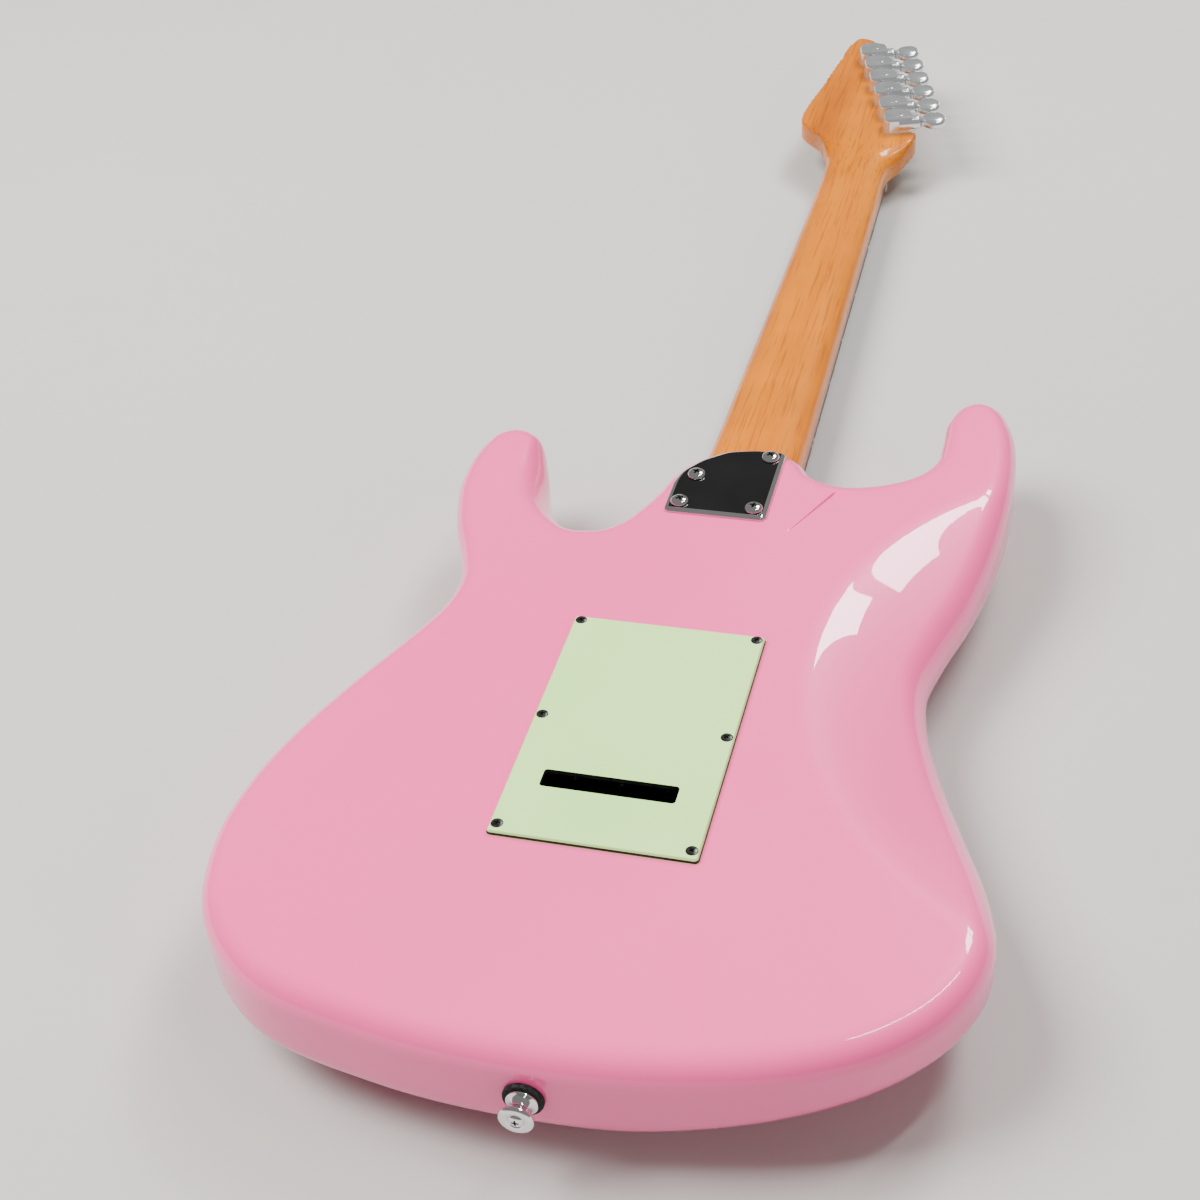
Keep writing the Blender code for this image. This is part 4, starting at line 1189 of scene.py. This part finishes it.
def make_jack():
    outline = turned(rounded_rectangle(JACK_CENTRE, (76, 28), 13.8, 14), JACK_CENTRE, JACK_ANGLE)
    levels = [(0, -SKIN), (0, -0.9), (0.3, -1.5), (0.9, -1.85), (3.0, -1.95), (4.5, -1.7), (6.5, -1.2)]
    seat = move(*JACK_CENTRE)
    plate = cut(stepped(outline, levels), *bores([JACK_CENTRE], 4.9, -4, 3, 32))
    tilt = spin(JACK_ANGLE)
    piece("jack_plate", plate, [CHROME, CHROME], stands_for=["output_jack"])
    nut = [(5.6, -1.15), (6.2, -1.3), (6.2, -2.6), (5.6, -2.9), (4.6, -2.9)]
    hexagon = cut(lathe(nut, 6, seat), *bores([JACK_CENTRE], 3.5, -8, 8, 32))
    piece("jack_nut", soften(hexagon, 0.2), [CHROME, CHROME])
    barrel = lathe([(4.8, 20), (4.8, -3.3), (4.4, -3.7)], 32, seat)
    # The barrel's bore takes near-black painted shade.
    barrel = cut(barrel, *bores([JACK_CENTRE], 3.3, -8, 26, 32, 1))
    piece("jack_barrel", barrel, [CHROME, HOLLOW_SHADE])
    spots = [seat @ tilt @ move(side * 31.0, 0, -1.75) @ FLIP for side in (-1, 1)]
    piece("jack_screws", copies(oval_screw(2.9, 0.9, 2.0), spots), CHROME_SCREW)


# ---------------------------------------------------------------- tuners and strings

def tuner_place(index):
    """Tuner frame: X runs up the head along the row and Y out to the button, from the post's axis."""
    along = Vector(TUNER_STEP).normalized()
    post = Vector(TUNER_FIRST) + index * Vector(TUNER_STEP)
    turn = Matrix(((along.x, along.y, 0, 0), (along.y, -along.x, 0, 0), (0, 0, 1, 0), (0, 0, 0, 1)))
    return move(*post) @ turn


def make_tuners():
    low = HEAD_BACK_Z + SKIN
    across = move(TUNER_SHAFT_OFFSET, 0, TUNER_SHAFT_Z) @ spin(-90, "X")
    outline = [(-10.9, -6.5), (-8.4, -9), (3, -9), (8.5, -4.5), (8.5, 3.5), (3.4, 11.9), (-10.9, 11.9)]
    levels = [(0, low), (0, low + 1.0), (0.4, low + 1.5), (0.5, 24.8), (0.7, 25.7), (1.1, 26.4), (1.4, 26.75)]
    case = stepped(round_corners(outline, 3.2), levels)
    barrel = [(5.0, 1), (5.0, 14.0), (4.85, 14.9), (4.3, 15.7), (3.2, 16.2), (2.3, 16.3)]
    case = cut(case, lathe(barrel, 36, across), operation="UNION")
    lid = lathe([(6.4, 26.0), (6.4, 26.9), (6.0, 27.15), (5.2, 27.2), (4.9, 27.0), (0.03, 27.0)], 40)
    case = cut(case, lid, operation="UNION")
    case = cut(case, lathe([(3.4, 8), (3.4, 23)], 20))
    case = cut(case, lathe([(2.4, 6), (2.4, 20)], 20, across))
    post = [
        (3.1, 22.8), (3.1, -3.4), (2.75, -4.2), (2.6, -5.0), (2.65, -6.2), (3.05, -7.2), (3.1, -8),
        (3.1, -11.8), (2.9, -12.3), (2.5, -12.5),
    ]
    post = cut(lathe(post, 36), box((-0.6, -4, -14), (0.6, 4, -9.2), 1))
    bushing = lathe([(5.0, 1.45), (5.0, 0.6), (4.7, 0.2), (4.5, -0.9), (4.0, -1.3)], 36)
    bushing = cut(bushing, lathe([(3.2, -3), (3.2, 3)], 36))
    stem = [(2.1, 12), (2.1, 16.5), (3.3, 16.6), (3.5, 17.0), (3.5, 18.0), (2.9, 18.6)]
    wings = [
        (18.2, 2.6, 2.4), (18.7, 4.2, 3.2), (19.8, 6.2, 3.7), (21.5, 7.9, 4.05), (23.8, 8.9, 4.25),
        (26.2, 9.2, 4.3), (28.6, 8.9, 4.2), (30.6, 7.9, 3.95), (32.0, 6.4, 3.5), (32.7, 4.9, 2.9),
        (33.0, 3.2, 2.0),
    ]
    rings = []
    for y, wide, thick in wings:
        section = superellipse(wide, thick, 0.86, 40)
        rings.append([(TUNER_SHAFT_OFFSET + x, y, TUNER_SHAFT_Z + z) for x, z in section])
    button = cut(skin(rings), lathe(stem, 32, across), operation="UNION")
    end_screw = cut(lathe([(1.6, 31), (1.9, 33.0), (1.8, 33.35), (1.2, 33.6), (0.03, 33.68)], 24),
                    cross_recess(1.1, 0.7, 33.5))
    end_screw.transform(across)
    for index in range(6):
        number = index + 1
        for name, shape, finishes, body, node in (
            ("case", case, [SATIN, SATIN], "guitar", "tuner_housing"),
            ("key", button, [SATIN], f"button_{number}", "tuner_button"),
            ("key_screw", end_screw, CHROME_SCREW, f"button_{number}", None),
            ("post", post, [CHROME, CHROME], f"post_{number}", "string_post"),
            ("bushing", bushing, [CHROME], "guitar", None),
        ):
            solid = copies(shape.copy(), [tuner_place(index)])
            stands_for = [f"{node}_{number}"] if node else []
            piece(f"tuner_{name}_{number}", solid, finishes, body, stands_for)
    for shape in (case, post, bushing, button, end_screw):
        shape.free()


def string_tree(x, y):
    """A turned stem with a wing over the string on each side."""
    stem = [(2.2, 1.5), (2.2, -4), (1.5, -4.2), (1.5, -8.9), (2.6, -9.5), (2.6, -10.3), (1.6, -10.8)]
    wing = [(-2.2, -9.5), (2.2, -9.5), (2.6, -9.9), (1.8, -10.3), (-1.8, -10.3), (-2.6, -9.9)]
    solids = [lathe(stem, 24, move(x, y))]
    for side in (-1, 1):
        one = bar(wing, 2.4, 5.4)
        one.transform(move(x, y) @ Matrix.Scale(side, 4, (1, 0, 0)))
        solids.append(one)
    return solids


def make_strings():
    for i, (x, diameter) in enumerate(zip(STRINGS_AT_BRIDGE, STRING_DIAMETERS)):
        radius = diameter / 2
        number = i + 1
        seat = tuner_place(i)
        crown = -13.93 - radius
        saddle = Vector((x, -1.4, crown))
        nut = Vector((STRINGS_AT_NUT[i], SCALE_LENGTH + 1.0, NUT_SLOT_Z - radius))
        post = seat @ Vector((0, -POST_WAIST - radius, WINDING_Z))
        side_view = [(BALL_Y, 26.6), (BALL_Y, 8), (-11.0, -2), (-9.6, -7), (-6.2, -11.6), (-3.2, crown + 0.5)]
        rise = curve_through([(x, y, z) for y, z in side_view] + [saddle], 4)
        run = [saddle.lerp(nut, k / 40) for k in range(1, 41)]
        last = [nut.lerp(post, share) for share in (0.02, 0.3, 0.65, 0.97, 1.0)]
        finish = WOUND if i < 3 else STEEL
        piece(f"string_line_{number}", tube(rise + run + last, radius, 8), [finish],
              stands_for=[f"string_{number}"], weighted=False,
              blend=("bridge", "guitar", row(x, 2, -14), row(x, 60, -14)))
        winds = []
        turns = 3.2 if i < 3 else 4.6
        reach = POST_WAIST + 0.02 + radius
        for k in range(int(turns * 20) + 1):
            angle = -pi / 2 + 2 * pi * k / 20
            height = WINDING_Z + min(diameter * 1.02, 0.8) * k / 20
            winds.append(seat @ Vector((reach * cos(angle), reach * sin(angle), height)))
        winding = tube(winds, radius, 6)
        piece(f"string_winding_{number}", winding, [finish], f"post_{number}", weighted=False)
    trees = string_tree(-13.7, 700) + string_tree(0.6, 712)
    piece("string_trees", joined(trees), [CHROME])


# ---------------------------------------------------------------- studio

WINDOW_AIM = (100, 150, 40)  # the point on the belly contour that mirrors the window
WINDOW_DISTANCE = 2.5
# Each pane: name, degrees from +Y towards +X, degrees up, size, power
WINDOW_PANES = [("pane_upper", 19.0, 50.0, (0.66, 0.27), 20), ("pane_lower", 16.0, 43.0, (0.5, 0.2), 12)]


def softbox(name, spot, target, size, power, colour=(1, 0.98, 0.96), mirrored=True, roll=0.0):
    """Rectangular studio light; one that isn't mirrored lights a surface without showing in its gloss."""
    light = bpy.data.lights.new(name, "AREA")
    light.shape = "RECTANGLE"
    light.size, light.size_y = size
    light.energy = power
    light.color = colour
    obj = bpy.data.objects.new(name, light)
    facing = (Vector(target) - Vector(spot)).to_track_quat("-Z", "Y").to_matrix().to_4x4()
    obj.matrix_world = Matrix.Translation(spot) @ facing @ spin(roll)
    obj.visible_glossy = mirrored
    bpy.context.scene.collection.objects.link(obj)


def make_studio():
    nodes = Nodes("studio_floor")
    greys = [(0.3, (0.50, 0.49, 0.47)), (0.7, (0.53, 0.52, 0.50))]
    nodes.link(nodes.ramp(nodes.noise(1.5, 3.0), greys), "Base Color")
    nodes.link(nodes.spread(nodes.noise(30.0), 0.7, 0.85), "Roughness")
    nodes.bump(nodes.noise(300.0), 0.05, 0.0005)
    mesh = bpy.data.meshes.new("floor")
    sheet = bmesh.new()
    bmesh.ops.create_circle(sheet, cap_ends=True, radius=7.0, segments=96)
    sheet.to_mesh(mesh)
    sheet.free()
    mesh.materials.append(nodes.material)
    floor = bpy.data.objects.new("floor", mesh)
    floor.location.z = -0.0005
    bpy.context.scene.collection.objects.link(floor)
    world = bpy.data.worlds.new("studio")
    bpy.context.scene.world = world
    world.use_nodes = True
    backdrop = world.node_tree.nodes["Background"]
    backdrop.inputs["Color"].default_value = (0.92, 0.9, 0.86, 1)
    backdrop.inputs["Strength"].default_value = 0.26
    softbox("key", (-1.5, -0.5, 2.2), (0, 0, 0), (1.5, 1.5), 150, mirrored=False)
    softbox("rear", (0.5, 1.3, 2.1), (0, 0.2, 0), (1.2, 0.8), 28, mirrored=False)
    softbox("side", (1.9, -1.2, 1.0), (0, -0.3, 0), (0.5, 0.9), 14, mirrored=False)
    softbox("strip", (0.97, 0.27, 2.3), (0.12, -0.43, 0.05), (0.13, 1.28), 18, roll=20.0)
    for name, bearing, elevation, size, power in WINDOW_PANES:
        turn, rise = radians(bearing), radians(elevation)
        out = Vector((sin(turn) * cos(rise), cos(turn) * cos(rise), sin(rise)))
        aim = Vector(row(*WINDOW_AIM))
        softbox(name, aim + out * WINDOW_DISTANCE, aim, size, power, (1, 0.97, 1))


CAMERA_SPOT = (189.28, -602.24, 646.02)
CAMERA_TURN = Vector((0.88074778, 0.1741544, 0.21021791))  # axis times angle, in radians
CAMERA_LENS = 60.38


def make_camera():
    camera = bpy.data.cameras.new("camera")
    camera.lens = CAMERA_LENS
    camera.sensor_width = 36.0
    camera.clip_start = 0.01
    camera.clip_end = 50.0
    obj = bpy.data.objects.new("camera", camera)
    turn = Matrix.Rotation(CAMERA_TURN.length, 4, CAMERA_TURN)
    obj.matrix_world = Matrix.Translation(row(*CAMERA_SPOT)) @ turn
    bpy.context.scene.collection.objects.link(obj)
    bpy.context.scene.camera = obj


make_camera()
make_studio()
make_body()
make_neck()
make_fretboard()
make_nut()
make_neck_joint()
make_strap_buttons()
make_cover()
make_springs()
make_bridge()
make_pickguard()
make_pickups()
make_controls()
make_jack()
make_tuners()
make_strings()

bpy.context.view_layer.update()
